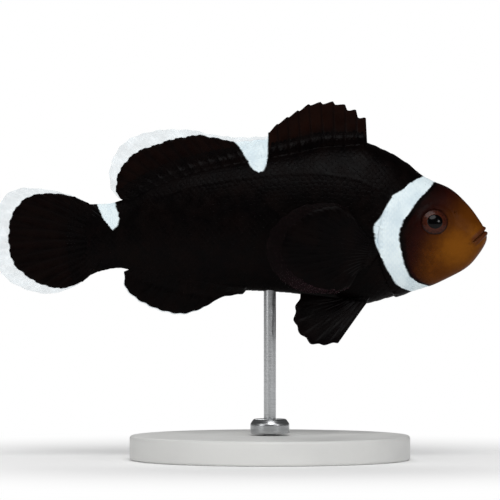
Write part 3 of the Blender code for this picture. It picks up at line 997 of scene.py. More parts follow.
@dataclass(frozen=True)
class FlankChart:
    """The body's side unrolled: station along it, and the arc up or down from the widest level."""

    body: Body
    side: int
    stations: Array = field(default_factory=lambda: np.linspace(36.0, -28.9, 320))
    arcs: Array = field(default_factory=lambda: np.linspace(-17.0, 19.0, 241))

    def chords(self, x: Array, count: int) -> Array:
        """Returns the chords between `count` points of the half rings at stations."""
        turn = np.linspace(-np.pi / 2, np.pi / 2, count)
        ring = self.body.bare(np.broadcast_to(x[:, None], (len(x), count)), turn[None])
        return np.linalg.norm(np.diff(ring[..., 1:], axis=1), axis=-1)

    @cached_property
    def turns(self) -> Array:
        """Tabulates the turn at each station and arc, from the summed chords of its half ring."""
        chord = self.chords(self.stations, 241)
        run = np.concatenate([np.zeros((len(chord), 1)), np.cumsum(chord, axis=1)], axis=1)
        run -= run[:, 120:121]
        turn = np.linspace(-np.pi / 2, np.pi / 2, 241)
        return np.array([np.interp(self.arcs, row, turn) for row in run])

    def within(self, x: Array, arc: Array) -> Array:
        """Returns whether each place lies between the belly's and the back's middle line."""
        chord = self.chords(x, 121)
        return (arc > 0.05 - chord[:, :60].sum(axis=1)) & (arc < chord[:, 60:].sum(axis=1) - 0.05)

    def turn_at(self, x: Array, arc: Array) -> Array:
        """Reads the table of turns between its entries, linearly both ways.

        Args:
            x: stations.
            arc: arcs in millimetres.

        Returns:
            Turns on this side of the body.
        """
        step, bit = self.stations[0] - self.stations[1], self.arcs[1] - self.arcs[0]
        i = np.clip((self.stations[0] - x) / step, 0, len(self.stations) - 1.001)
        j = np.clip((arc - self.arcs[0]) / bit, 0, len(self.arcs) - 1.001)
        i0, j0 = i.astype(int), j.astype(int)
        table = self.turns
        fi, fj = i - i0, j - j0
        top = table[i0, j0] * (1 - fj) + table[i0, j0 + 1] * fj
        foot = table[i0 + 1, j0] * (1 - fj) + table[i0 + 1, j0 + 1] * fj
        turn = top * (1 - fi) + foot * fi
        return turn if self.side > 0 else np.pi - turn


@dataclass(frozen=True)
class ScaleShape:
    """One scale: a rounded, slightly crowned plate whose buried end lies deepest."""

    length: float = 1.75  # in pitches, so each scale runs well under the one ahead
    width: float = 1.12  # of the spacing between two rows that line up
    buried: float = -0.05  # height of its front end over the skin
    proud: float = 0.125  # height of its free edge over the skin
    thickness: float = 0.05
    crown: float = 0.035
    across: int = 7
    along: int = 5

    def grid(self) -> tuple[Array, Array, Array]:
        """Works out the plate's top as shares along and across it, and its crown.

        The outline is a rounded square: half the width is (1 - |2s - 0.9|^4)^(1/3) at share s of the
        length, and the free end runs out by a parabola across the plate.

        Returns:
            Shares along, shares across from -1 to 1, and heights of the crown, each (along, across).
        """
        s = np.linspace(0, 1, self.along)[:, None] ** 0.85
        a = np.linspace(-1, 1, self.across)[None]
        round_end = 1 - 0.30 * a**2
        run = s * round_end
        wide = np.where(s < 0.5, 0.86 + 0.28 * s, 1.0) * (1 - 0.16 * smooth_step(0.6, 1.0, s))
        crown = self.crown * (1 - a**2) * np.sin(np.pi * np.clip(s, 0, 1)) ** 0.8
        return np.broadcast_to(run, (self.along, self.across)), a * wide, crown

    @property
    def ends(self) -> Array:
        """Returns the point numbers of the buried and the free end row, which the underside repeats."""
        row = np.arange(self.across)
        return np.concatenate([row, row + (self.along - 1) * self.across])

    def both(self, values: Array, drop: float = 0.0) -> Array:
        """Returns each scale's values on its top and then, less `drop`, on its underside."""
        return np.concatenate([values, values[..., self.ends] - drop], axis=-1)

    def climb(self, run: Array) -> Array:
        """Returns heights over the skin, which rise from the buried end to the free one."""
        return self.buried + (self.proud - self.buried) * run.ravel()[None] ** 0.8

    def laid(self, points: Array, markings: Markings, values: dict[str, Array], place: Array) -> Patch:
        """Makes the scales whose points are given, coloured mostly point by point and a quarter as one.

        Args:
            points: the scales' points, one row to a scale.
            markings: what to read the colours from, a quarter of the way to each scale's middle.
            values: the scales' own named values.
            place: the points' places on the unwrap.

        Returns:
            The patch.
        """
        seen = 0.75 * points + 0.25 * points.mean(axis=1, keepdims=True)
        starts = (np.arange(len(points)) * points.shape[1])[:, None, None]
        faces = [(face[None] + starts).reshape(-1, face.shape[1]) for face in self.faces()]
        return Patch(points.reshape(-1, 3), faces, markings.values(seen.reshape(-1, 3)) | values, place)

    def faces(self) -> list[Array]:
        """Lists one scale's faces: its top, a rim, and an underside of one strip to each column."""
        rows, columns = self.along, self.across
        count = rows * columns
        j = np.arange(columns - 1)
        foot = count + j
        free = count + columns + j
        under = np.column_stack([foot, foot + 1, free + 1, free])
        front = np.column_stack([j, j + 1, foot + 1, foot])
        last = (rows - 1) * columns
        back = np.column_stack([last + j + 1, last + j, free, free + 1])
        side = np.arange(rows) * columns
        left = [[*side[::-1], count, count + columns]]
        right = [[*(side + columns - 1), count + 2 * columns - 1, count + columns - 1]]
        faces = (grid_quads(rows, columns), under, front, back, np.array(left), np.array(right))
        return [face[:, ::-1] for face in faces]


def quincunx(first: Array, second: Array) -> tuple[Array, Array]:
    """Returns every second pair of two rows of whole numbers, as on a five-spotted die."""
    i, j = np.meshgrid(first, second, indexing="ij")
    keep = (i + j) % 2 == 0
    return i[keep], j[keep]


@dataclass(frozen=True)
class Coat:
    """Rows of scales over a side of the body, laid like tiles from the head back."""

    body: Body
    markings: Markings
    shape: ScaleShape = ScaleShape()
    pitch: float = 1.02  # between two scales of a row, at the shoulder
    row: float = 0.66  # between two rows
    tail_share: float = 0.74  # how much smaller the scales are at the tail
    seed: int = 7
    patch_size: float = 0.003  # of a scale's place on the unwrap
    covered: bool = True  # whether the foremost scales run under the gill cover
    nape: float = 7.4  # height above which the gill cover no longer parts head from trunk

    def fade(self, x: Array, z: Array) -> Array:
        """Returns each scale's share of its full size and height, 1 all over the trunk."""
        return np.ones_like(x)

    def size_at(self, x: Array) -> Array:
        """Returns the size of a scale at a station, as a share of one at the shoulder."""
        return 1 - (1 - self.tail_share) * smooth_step(6.0, -28.0, np.asarray(x, float))

    def roots(self, chart: FlankChart) -> tuple[Array, Array, Array]:
        """Lays out the trunk's scales in a quincunx and keeps those behind the gill cover.

        Columns of scales follow each other a pitch apart, each shrinking with its station. Rows stand
        `row` apart in the arc, shrunk likewise, and every second row is half a pitch further back.

        Args:
            chart: the side that they lie on.

        Returns:
            Stations, arcs and sizes of the scales' roots, from the head back.
        """
        x, columns = 25.0, []
        while x > self.body.rear + 0.5:
            columns.append(x)
            x -= self.pitch * float(self.size_at(x)) / 2
        columns = np.array(columns)
        i, j = quincunx(np.arange(len(columns)), np.arange(-26, 30))
        x = columns[i]
        size = self.size_at(x)
        arc = j * self.row * size
        z = self.body.bare(x, chart.turn_at(x, arc))[..., 2]
        behind = GillCover().ahead(x, z) < 0.5 + 12 * (z > self.nape)
        keep = chart.within(x, arc) & behind & (x > self.body.rear + 0.6)
        return x[keep], arc[keep], size[keep]

    def patch(self, chart: FlankChart) -> Patch:
        """Makes one side's scales.

        A scale's point lies on the chart at its root plus (share along * length, share across * width),
        and stands over the skin by a height that climbs from the buried end to the free one, plus the
        crown. Its underside is the same two end rows, a thickness lower.

        Args:
            chart: the side.

        Returns:
            The patch.
        """
        x, arc, size = self.roots(chart)
        rng = np.random.default_rng(self.seed + chart.side)
        shape = self.shape
        run, across, crown = shape.grid()
        tilt = rng.normal(0, 0.05, len(x))
        root = self.body.bare(x, chart.turn_at(x, arc))
        fade = self.fade(x, root[..., 2])
        scale = size * rng.normal(1, 0.03, len(x)) * (0.6 + 0.4 * fade)
        length = shape.length * self.pitch * scale
        width = shape.width * self.row * scale
        s = run.ravel()[None] * length[:, None]
        a = across.ravel()[None] * width[:, None]
        s, a = s - a * tilt[:, None], a + s * tilt[:, None]
        height = shape.climb(run) * np.clip(scale, 0.8, 1.1)[:, None]
        height = height + crown.ravel()[None] * (scale * fade)[:, None]
        height = height - (1 - fade[:, None]) * run.ravel()[None] * 0.6 * shape.proud
        height = height + rng.normal(0, 0.006, len(x))[:, None]
        s, a, height = shape.both(s), shape.both(a), shape.both(height, shape.thickness)
        at_x = np.clip(x[:, None] - s, self.body.rear - 1.5, TIP - 0.5)
        turn = chart.turn_at(at_x, arc[:, None] + a)
        points = self.body.surface(at_x, turn, height, self.covered)
        values = {
            "tint": np.repeat(0.5 + fade * rng.uniform(-0.5, 0.5, len(x)), points.shape[1]),
            "free": np.outer(fade, shape.both(run.ravel())).ravel(),
        }
        return shape.laid(points, self.markings, values, self.unwrap(x, arc, s, a))

    def unwrap(self, x: Array, arc: Array, s: Array, a: Array) -> Array:
        """Places each scale as a small patch at its root on the side's own unwrap.

        The root is at (share of the body's length, share of the greatest arc), and the scale's own
        lengths, cut to `patch_size` across, are added to it.

        Args:
            x: the roots' stations.
            arc: the roots' arcs.
            s: distances along each scale, one row to a scale.
            a: distances across it.

        Returns:
            One place to each point.
        """
        along = (x - self.body.rear) / (TIP - self.body.rear)
        root = np.stack([0.01 + 0.98 * along, 0.02 + 0.96 * (arc + 16) / 34], axis=-1)
        local = np.stack([0.5 - s / s.max(), a / (2 * np.abs(a).max())], axis=-1) * self.patch_size
        return (root[:, None] + local).reshape(-1, 2)


@dataclass(frozen=True)
class HeadCoat(Coat):
    """The smaller scales of the nape, cheeks and gill covers."""

    shape: ScaleShape = ScaleShape(proud=0.085, buried=-0.04, crown=0.02, thickness=0.035)
    pitch: float = 0.74
    row: float = 0.47
    seed: int = 21
    covered: bool = False
    trunk_start: float = 25.2  # where the trunk's scales take over on the nape

    def fade(self, x: Array, z: Array) -> Array:
        """Returns each scale's share of its full size: it sinks into the skin towards the bare snout."""
        return smooth_step(-0.2, 2.4, through(SCALE_FRONT, z) - x)

    def roots(self, chart: FlankChart) -> tuple[Array, Array, Array]:
        """Lays out the head's scales from the brow back to the gill cover's margin."""
        columns = np.arange(31.5, 17.0, -self.pitch / 2)
        i, j = quincunx(np.arange(len(columns)), np.arange(-34, 40))
        x, arc = columns[i], j * self.row
        inside = chart.within(x, arc)
        x, arc = x[inside], arc[inside]
        z = self.body.bare(x, chart.turn_at(x, arc))[..., 2]
        tail = GillCover().ahead(x - self.pitch * self.shape.length, z)
        edge = through(SCALE_FRONT, z) + np.random.default_rng(self.seed).uniform(-0.35, 0.35, len(x))
        keep = (x < edge) & np.where(z < self.nape, tail > 0.15, x > self.trunk_start)
        return x[keep], arc[keep], np.ones(keep.sum())


@dataclass(frozen=True)
class SheathCoat:
    """The small scales that run out over the bases of the middle fins and the tail fin."""

    fin: Fin
    markings: Markings
    reach: float  # how far they run out, in millimetres
    pitch: float = 0.62
    spacing: float = 0.62  # between two rows, in pitches
    seed: int = 3
    shape: ScaleShape = ScaleShape(proud=0.075, buried=-0.03, crown=0.015, thickness=0.03, across=5, along=4)
    patch_size: float = 0.003

    def patch(self, band: int, bands: int) -> Patch:
        """Makes the sheath's scales on both faces of the fin.

        They stand in a quincunx of shares along the root and distances out along the rays. A scale is a
        flat plate on the blade's face: root + along * outwards + across * the root's direction, with
        the coat's own climb and crown.

        Args:
            band: which band of the unwrap the scales take.
            bands: how many bands there are.

        Returns:
            The patch of all scales.
        """
        fin, shape = self.fin, self.shape
        rng = np.random.default_rng(self.seed)
        span = np.linalg.norm(fin.root(np.array([1.0])) - fin.root(np.array([0.0])))
        count = int(span / (self.pitch * self.spacing))
        outs = np.arange(-0.7, self.reach, self.pitch / 2)
        i, j = quincunx(np.arange(count + 1), np.arange(len(outs)))
        share, out = 0.05 + 0.9 * i / count, outs[j]
        _, length = fin.frame(share, np.ones_like(share))
        fits = out + self.pitch * 1.5 < length * 0.8
        share, out = share[fits], out[fits]
        run, across, crown = shape.grid()
        size = rng.normal(1, 0.05, len(share)) * (1 - 0.35 * np.clip(out / self.reach, 0, 1))
        s = run.ravel()[None] * (self.pitch * 1.7 * size)[:, None]
        a = across.ravel()[None] * (self.pitch * self.spacing * shape.width * size)[:, None]
        height = np.broadcast_to(shape.climb(run) + crown.ravel()[None], s.shape)
        s, a, height = shape.both(s), shape.both(a), shape.both(height, shape.thickness)
        at_share = np.clip(share[:, None] + a / span, 0.002, 0.998)
        ray = fin.frame(at_share, np.ones_like(at_share))[1]
        at_along = (out[:, None] + s) / ray
        middle, ray = fin.frame(at_share, at_along)
        half = fin.half(at_share, at_along, ray)
        patches = []
        for face in SIDES:
            points = middle.copy()
            points[..., 1] += face * (half + height)
            values = {
                "tint": np.repeat(rng.uniform(0, 1, len(share)), points.shape[1]),
                "free": np.tile(shape.both(run.ravel()), len(share)),
            }
            level = (band + 0.25 + 0.25 * (face > 0) + 0.2 * out / self.reach) / bands
            root = np.stack([0.02 + 0.96 * share, level], axis=-1)
            local = np.stack([a / (2 * np.abs(a).max()), s / s.max() - 0.5], axis=-1) * self.patch_size
            place = (root[:, None] + local).reshape(-1, 2)
            patches.append(shape.laid(points, self.markings, values, place).turned_out())
        return Patch.joined(patches)


# Eyes
# ----


@dataclass(frozen=True)
class Eye:
    """An eyeball with a bulging lens in a sloping iris, turned to follow the head's side."""

    body: Body
    side: int
    orbit: Orbit = Orbit()
    radii: tuple[float, float] = (2.34, 2.14)
    pupil: float = 1.28
    dome: float = 0.62
    depth: float = 1.5

    def profile(self) -> Array:
        """Works out the ball's (radius, height) profile from the lens's top round to the back.

        The front is a dome that falls with the square of the radius, with the lens standing out of the
        pupil by its own low dome, and the rest is an oval that closes behind. Radii are shares of 1 at
        the rim.

        Returns:
            (radius, height) points, the height in millimetres over the rim.
        """
        pupil = self.pupil / self.radii[0]
        radius = np.concatenate([np.linspace(0, pupil, 16), np.linspace(pupil + 0.012, 1.0, 24)])
        lens = 0.10 * np.sqrt(np.clip(1 - (radius / pupil) ** 2, 0, 1))
        ledge = 0.035 * smooth_step(pupil + 0.02, pupil - 0.02, radius)
        front = self.dome * (1 - radius**2) + lens + ledge
        angle = np.linspace(0, np.pi / 2, 14)[1:]
        behind = np.column_stack([np.cos(angle), -np.sin(angle) * self.depth])
        return np.concatenate([np.column_stack([radius, front]), behind])

    def patch(self) -> Patch:
        """Makes the eyeball in place, its axis square to the head's side at the eye."""
        x, z = np.array([self.orbit.station]), np.array([self.orbit.height])
        out = self.body.flank(x, z)
        turn = np.arctan2(z[0] - self.body.section(x)[2][0], out[0])
        normal = self.body.normal(x, np.array([turn]))[0]
        axis = unit(np.array([0.7 * normal[0], normal[1], 0.55 * normal[2]])) * [1, self.side, 1]
        first = unit(np.cross(axis, [0, 0, 1.0]))
        second = np.cross(first, axis)
        centre = np.array([x[0], self.side * (out[0] - COAT_DEPTH - 0.10), z[0]])
        axes = np.array([first * self.radii[0], second * self.radii[1], axis])
        return turned_solid(self.profile(), 72, axes, centre)


# Finishes
# --------


class Nodes:
    """A short way to write a material's nodes."""

    def __init__(self, name: str) -> None:
        """Starts a material with a Principled shader.

        Args:
            name: the material's name.
        """
        self.made = bpy.data.materials.new(name)
        self.made.use_nodes = True
        self.tree = self.made.node_tree
        self.shader = self.tree.nodes["Principled BSDF"]

    def node(self, kind: str, inputs: dict | None = None, **settings: object) -> bpy.types.Node:
        """Adds a node.

        Args:
            kind: Blender's name for its type.
            inputs: socket name or number to a value or a socket to link.
            settings: properties of the node.

        Returns:
            The node.
        """
        made = self.tree.nodes.new(kind)
        for name, value in settings.items():
            setattr(made, name, value)
        for key, value in (inputs or {}).items():
            self.feed(made.inputs[key], value)
        return made

    def feed(self, socket: Socket, value: object) -> None:
        """Links a socket to another, or sets its value."""
        if isinstance(value, Socket):
            self.tree.links.new(value, socket)
        else:
            socket.default_value = value

    def attribute(self, name: str) -> Socket:
        """Returns a mesh value by name."""
        return self.node("ShaderNodeAttribute", attribute_name=name).outputs["Fac"]

    def math(self, operation: str, *values: object) -> Socket:
        """Returns the result of a Math node."""
        return self.node("ShaderNodeMath", dict(enumerate(values)), operation=operation).outputs[0]

    def times(self, *values: object) -> Socket:
        """Returns the product of two values."""
        return self.math("MULTIPLY", *values)

    def plus(self, *values: object) -> Socket:
        """Returns the sum of two values."""
        return self.math("ADD", *values)

    def ramp(self, value: object, low: float, high: float, start: float = 0.0, end: float = 1.0) -> Socket:
        """Returns a value mapped smoothly from low..high to start..end."""
        inputs = {"Value": value, "From Min": low, "From Max": high, "To Min": start, "To Max": end}
        return self.node("ShaderNodeMapRange", inputs, interpolation_type="SMOOTHSTEP").outputs["Result"]

    def mix(self, share: object, first: object, second: object, blend: str = "MIX") -> Socket:
        """Returns two colours mixed by a share."""
        made = self.node("ShaderNodeMix", data_type="RGBA", blend_type=blend)
        self.feed(made.inputs["Factor"], share)
        self.feed(made.inputs["A"], first)
        self.feed(made.inputs["B"], second)
        return made.outputs["Result"]

    def tinted(self, colour: Socket, by: Socket) -> Socket:
        """Returns a colour multiplied by a value."""
        return self.node("ShaderNodeVectorMath", {0: colour, 1: by}, operation="MULTIPLY").outputs[0]

    def place(self) -> Socket:
        """Returns the object's own coordinates."""
        return self.node("ShaderNodeTexCoord").outputs["Object"]

    def noise(self, scale: float, detail: float = 3.0) -> Socket:
        """Returns noise on the object's own coordinates, `scale` to a metre."""
        inputs = {"Vector": self.place(), "Scale": scale, "Detail": detail, "Roughness": NOISE_ROUGHNESS}
        return self.node("ShaderNodeTexNoise", inputs).outputs["Fac"]

    def cells(self, scale: float) -> Socket:
        """Returns the distance to the nearest of scattered points, on object coordinates."""
        return self.node("ShaderNodeTexVoronoi", {"Vector": self.place(), "Scale": scale}).outputs["Distance"]

    def bump(self, height: Socket, strength: float, distance: float) -> None:
        """Feeds the shader's normal from a height in metres times `distance`."""
        made = self.node("ShaderNodeBump", {"Height": height, "Strength": strength, "Distance": distance})
        self.feed(self.shader.inputs["Normal"], made.outputs["Normal"])

    def worn(self, colour: Socket, roughness: Socket) -> None:
        """Feeds the shader's colour and roughness."""
        self.feed(self.shader.inputs["Base Color"], colour)
        self.feed(self.shader.inputs["Roughness"], roughness)

    def fixed(self, **values: object) -> None:
        """Sets constant values on the shader's own sockets, by their names with _ for a space."""
        for name, value in values.items():
            self.shader.inputs[name.replace("_", " ")].default_value = value


class Finish(Protocol):
    """A finish that can be worn."""

    def material(self) -> bpy.types.Material:
        """Returns the finish's material."""


@dataclass(frozen=True)
class FleshFinish:
    """The skin's finish and, with `scaled`, the scales': black, a brown face and white bars."""

    name: str = "fish skin"
    scaled: bool = False
    black: Colour = (0.0008, 0.0004, 0.0005, 1)
    dusky: Colour = (0.0019, 0.0008, 0.0007, 1)
    tea: Colour = (0.0074, 0.0021, 0.0011, 1)
    crown: Colour = (0.0150, 0.0024, 0.0014, 1)
    brown: Colour = (0.074, 0.0200, 0.0012, 1)
    amber: Colour = (0.150, 0.0480, 0.0030, 1)
    lip: Colour = (0.050, 0.0125, 0.0050, 1)
    white: Colour = (0.70, 0.79, 0.82, 1)
    shade: Colour = (0.60, 0.70, 0.75, 1)
    white_rim_sheen: Colour = (0.80, 0.86, 0.86, 1)  # a white scale's free edge, made paler as a painted sheen
    edge_blur: float = 0.16
    sheen: float = 0.032

    def material(self) -> bpy.types.Material:
        """Mixes the colours by the markings at each point.

        Black turns dusky in patches and tea-brown out on some fins, the face mixes crown, brown and
        amber by its own shares, the lips redden, and white covers all where the depth inside a bar,
        roughened by noise, passes zero.

        Returns:
            The material.
        """
        nodes = Nodes(self.name)
        patchy = nodes.ramp(nodes.noise(300, 5), 0.35, 0.7)
        black = nodes.mix(patchy, self.black, self.dusky)
        if not self.scaled:
            cloudy = nodes.ramp(nodes.noise(260, 4), 0.25, 0.7, 0.5, 1)
            black = nodes.mix(nodes.times(nodes.attribute("tea"), cloudy), black, self.tea)
        fine = nodes.math("SUBTRACT", nodes.noise(900, 3), 0.5)
        face = nodes.plus(nodes.attribute("face"), nodes.times(fine, 0.16))
        warm = nodes.plus(nodes.attribute("warm"), nodes.times(fine, 0.5))
        brown = nodes.mix(nodes.ramp(warm, 0.1, 1.0), self.brown, self.amber)
        head = nodes.mix(nodes.ramp(face, 0.22, 0.85), self.crown, brown)
        colour = nodes.mix(nodes.ramp(face, 0.0, 0.30), black, head)
        if not self.scaled:
            colour = nodes.mix(nodes.times(nodes.attribute("lips"), 0.8), colour, self.lip)
        depth = nodes.plus(nodes.attribute("white"), nodes.times(fine, 0.3))
        milky = nodes.mix(nodes.ramp(nodes.noise(420, 4), 0.35, 0.7), self.white, self.shade)
        if self.scaled:
            # painted sheen: each scale's free edge is made paler, whiter on white scales and dusky on black
            # ones
            rim = nodes.ramp(nodes.attribute("free"), 0.72, 0.95)
            milky = nodes.mix(nodes.times(rim, 0.35), milky, self.white_rim_sheen)
            colour = nodes.mix(nodes.times(rim, 0.2), colour, self.dusky)
            colour = nodes.tinted(colour, nodes.ramp(nodes.attribute("tint"), 0, 1, 0.85, 1.1))
        shown = nodes.mix(nodes.ramp(depth, -self.edge_blur, self.edge_blur), colour, milky)
        nodes.worn(shown, nodes.ramp(nodes.noise(600, 3), 0.3, 0.7, 0.30, 0.44))
        nodes.fixed(Specular_IOR_Level=self.sheen)
        grain = nodes.plus(nodes.times(nodes.noise(2600, 2), 0.6), nodes.times(nodes.cells(2100), 0.5))
        nodes.bump(grain, 0.35, 0.06 * MM)
        return nodes.made


@dataclass(frozen=True)
class FilmFinish:
    """A fin's clear margin: see-through membrane with paler rays."""

    name: str
    membrane: Colour
    lower: Colour  # the membrane's colour along the lower half of the edge
    ray: Colour
    opacity: float
    sheen: float

    def material(self) -> bpy.types.Material:
        """Mixes membrane and ray by the relief, and keeps a constant share of see-through."""
        nodes = Nodes(self.name)
        ridge = nodes.ramp(nodes.attribute("ray"), 0.2, 0.9)
        low = nodes.attribute("low")
        cloudy = nodes.ramp(nodes.noise(500, 3), 0.35, 0.7, 0.88, 1.08)
        colour = nodes.mix(ridge, nodes.mix(low, self.membrane, self.lower), self.ray)
        nodes.worn(nodes.tinted(colour, cloudy), nodes.ramp(nodes.noise(800, 2), 0.3, 0.7, 0.35, 0.5))
        nodes.fixed(Specular_IOR_Level=self.sheen, Alpha=self.opacity)
        return nodes.made


CLEAR_MARGIN = FilmFinish(
    name="clear fin margin", membrane=(0.72, 0.78, 0.81, 1), lower=(0.72, 0.78, 0.81, 1),
    ray=(0.77, 0.82, 0.845, 1), opacity=0.40, sheen=0.1,
)
SMOKY_MARGIN = FilmFinish(
    name="smoky fin margin", membrane=(0.0030, 0.0014, 0.0015, 1), lower=(0.0150, 0.0070, 0.0088, 1),
    ray=(0.0045, 0.0022, 0.0024, 1), opacity=0.5, sheen=0.04,
)


@dataclass(frozen=True)
class EyeFinish:
    """A black pupil in a dark iris with a paler inner ring, under a wet gloss."""

    name: str = "eye"
    pupil_radius: float = 0.547  # as a share of the eye's
    pupil: Colour = (0.0006, 0.0005, 0.0006, 1)
    iris: Colour = (0.0165, 0.0036, 0.0018, 1)
    ring: Colour = (0.050, 0.0112, 0.0050, 1)
    rim: Colour = (0.0040, 0.0014, 0.0012, 1)

    def material(self) -> bpy.types.Material:
        """Mixes pupil, ring, iris and rim by the radius, with fine streaks running out across the iris."""
        nodes = Nodes(self.name)
        radius = nodes.attribute("radius")
        around = nodes.attribute("around")
        place = nodes.node("ShaderNodeCombineXYZ", {
            "X": nodes.times(nodes.math("COSINE", around), 3.0),
            "Y": nodes.times(nodes.math("SINE", around), 3.0),
            "Z": nodes.times(radius, 1.2),
        }).outputs[0]
        texture = nodes.node("ShaderNodeTexNoise", {"Vector": place, "Scale": 5.0, "Detail": 5.0})
        streak = texture.outputs["Fac"]
        iris = nodes.mix(nodes.ramp(streak, 0.35, 0.65), self.iris, self.ring)
        edge = self.pupil_radius
        inner = nodes.ramp(radius, edge + 0.13, edge + 0.02)
        iris = nodes.mix(nodes.times(inner, 0.65), iris, self.ring)
        iris = nodes.mix(nodes.ramp(radius, 0.80, 0.99), iris, self.rim)
        shown = nodes.mix(nodes.ramp(radius, edge - 0.01, edge + 0.015), self.pupil, iris)
        nodes.worn(shown, nodes.ramp(radius, 0.4, 1.0, 0.16, 0.3))
        nodes.fixed(Specular_IOR_Level=0.06, Coat_Weight=0.12, Coat_Roughness=0.05)
        nodes.bump(nodes.times(streak, nodes.ramp(radius, edge, edge + 0.04)), 0.3, 0.08 * MM)
        return nodes.made


@dataclass(frozen=True)
class PaintFinish:
    """Satin paint on the base, with a faint orange peel and soft wear."""

    name: str = "stand paint"
    colour: Colour = (0.66, 0.66, 0.645, 1)
    worn: Colour = (0.60, 0.60, 0.59, 1)

    def material(self) -> bpy.types.Material:
        """Varies the paint's colour and roughness by broad noise and dimples it by fine noise."""
        nodes = Nodes(self.name)
        shown = nodes.mix(nodes.ramp(nodes.noise(60, 5), 0.4, 0.75), self.colour, self.worn)
        nodes.worn(shown, nodes.ramp(nodes.noise(180, 4), 0.3, 0.7, 0.38, 0.52))
        nodes.bump(nodes.noise(1500, 2), 0.25, 0.04 * MM)
        return nodes.made


@dataclass(frozen=True)
class SteelFinish:
    """Brushed steel, its brush marks running round the turned pieces."""

    name: str = "brushed steel"
    colour: Colour = (0.56, 0.57, 0.58, 1)
    dark: Colour = (0.44, 0.45, 0.46, 1)

    def material(self) -> bpy.types.Material:
        """Draws marks that are long round the piece and fine along it, from noise stretched flat."""
        nodes = Nodes(self.name)
        stretch = {"Vector": nodes.place(), "Scale": (60.0, 60.0, 9000.0)}
        flat = nodes.node("ShaderNodeMapping", stretch).outputs[0]
        marks = nodes.node("ShaderNodeTexNoise", {"Vector": flat, "Scale": 1.0, "Detail": 4.0}).outputs["Fac"]
        shown = nodes.mix(nodes.ramp(marks, 0.35, 0.65), self.colour, self.dark)
        nodes.worn(shown, nodes.ramp(marks, 0.3, 0.7, 0.24, 0.38))
        nodes.fixed(Metallic=1.0)
        nodes.bump(marks, 0.2, 0.03 * MM)
        return nodes.made


@dataclass(frozen=True)
class FloorFinish:
    """A plain near-white floor."""

    name: str = "pale floor"
    colour: Colour = (0.93, 0.93, 0.93, 1)

    def material(self) -> bpy.types.Material:
        """Returns a matt material that is evenly bright away from the stand."""
        nodes = Nodes(self.name)
        nodes.fixed(Base_Color=self.colour, Roughness=0.9, Specular_IOR_Level=0.1)
        distance = nodes.node("ShaderNodeVectorMath", {0: nodes.place()}, operation="LENGTH").outputs["Value"]
        glow = nodes.node("ShaderNodeEmission", {"Color": (1, 1, 1, 1), "Strength": 1.0})
        far = nodes.ramp(distance, 0.03, 0.10)
        mixed = nodes.node("ShaderNodeMixShader", {0: far, 1: nodes.shader.outputs[0], 2: glow.outputs[0]})
        output = nodes.tree.nodes["Material Output"]
        nodes.feed(output.inputs["Surface"], mixed.outputs[0])
        return nodes.made


# The stand
# ---------


def rounded_profile(corners: Outline, radius: float, steps: int = 6) -> Array:
    """Rounds the inner corners of a (radius, height) profile.

    At each inner corner P the points of a quadratic curve replace it: (1-t)^2 A + 2t(1-t) P + t^2 B, with
    A and B the points `radius` away from P on its two sides.

    Args:
        corners: the profile's corners in order.
        radius: how far from a corner its rounding starts.
        steps: points in a rounding.

    Returns:
        The profile's points.
    """
    points = np.array(corners, float)
    shaped = [points[:1]]
    for before, corner, after in zip(points[:-2], points[1:-1], points[2:]):
        a = corner + unit(before - corner) * min(radius, np.linalg.norm(before - corner) / 2)
        b = corner + unit(after - corner) * min(radius, np.linalg.norm(after - corner) / 2)
        t = np.linspace(0, 1, steps)[:, None]
        shaped.append((1 - t) ** 2 * a + 2 * t * (1 - t) * corner + t**2 * b)
    return np.concatenate([*shaped, points[-1:]])


@dataclass(frozen=True)
class Stand:
    """The round base, its collar and the rod up to the fish's belly."""

    base_radius: float = 23.0
    base_height: float = 4.0
    collar_radius: float = 3.2
    collar_height: float = 2.4
    rod_radius: float = 1.0
    rod_foot: float = 1.5
    rod_top: float = 30.7
    gap: float = 0.3

    def patches(self) -> dict[str, Patch]:
        """Turns the three pieces from their profiles, the base and collar pierced for the rod."""
        hole = self.rod_radius + self.gap
        low = self.base_height + self.gap
        base = rounded_profile((
            (0, self.rod_foot - self.gap), (hole, self.rod_foot - self.gap), (hole, self.base_height),
            (self.base_radius, self.base_height), (self.base_radius, 0.0), (0, 0.0),
        ), 0.55)
        rod = rounded_profile((
            (0, self.rod_top), (self.rod_radius, self.rod_top), (self.rod_radius, self.rod_foot),
            (0, self.rod_foot),
        ), 0.12)
        top = low + self.collar_height
        ring = rounded_profile((
            (hole, low + 0.2), (hole, top), (self.collar_radius * 0.82, top), (self.collar_radius, top - 0.8),
            (self.collar_radius, low), (hole, low), (hole, low + 0.2),
        ), 0.25)
        axes = np.eye(3)
        middle = np.zeros(3)
        return {
            "stand_base_painted": turned_solid(base, 160, axes, middle),
            "stand_collar_turned": self.closed_ring(ring, 96),
            "stand_rod_brushed": turned_solid(rod, 64, axes, middle),
        }

    def closed_ring(self, profile: Array, sides: int) -> Patch:
        """Turns a closed (radius, height) loop round Z, as a ring with a hole."""
        loop = profile[:-1]
        angle = np.linspace(0, 2 * np.pi, sides + 1)[:-1]
        points = np.stack([
            np.cos(angle)[:, None] * loop[None, :, 0], np.sin(angle)[:, None] * loop[None, :, 0],
            np.broadcast_to(loop[None, :, 1], (sides, len(loop))),
        ], axis=-1)
        i, j = np.meshgrid(np.arange(sides), np.arange(len(loop)), indexing="ij")
        near, far = i * len(loop), (i + 1) % sides * len(loop)
        k = (j + 1) % len(loop)
        quads = np.stack([near + j, near + k, far + k, far + j], axis=-1).reshape(-1, 4)
        return Patch(points.reshape(-1, 3), [quads]).turned_out()


# Studio
# ------


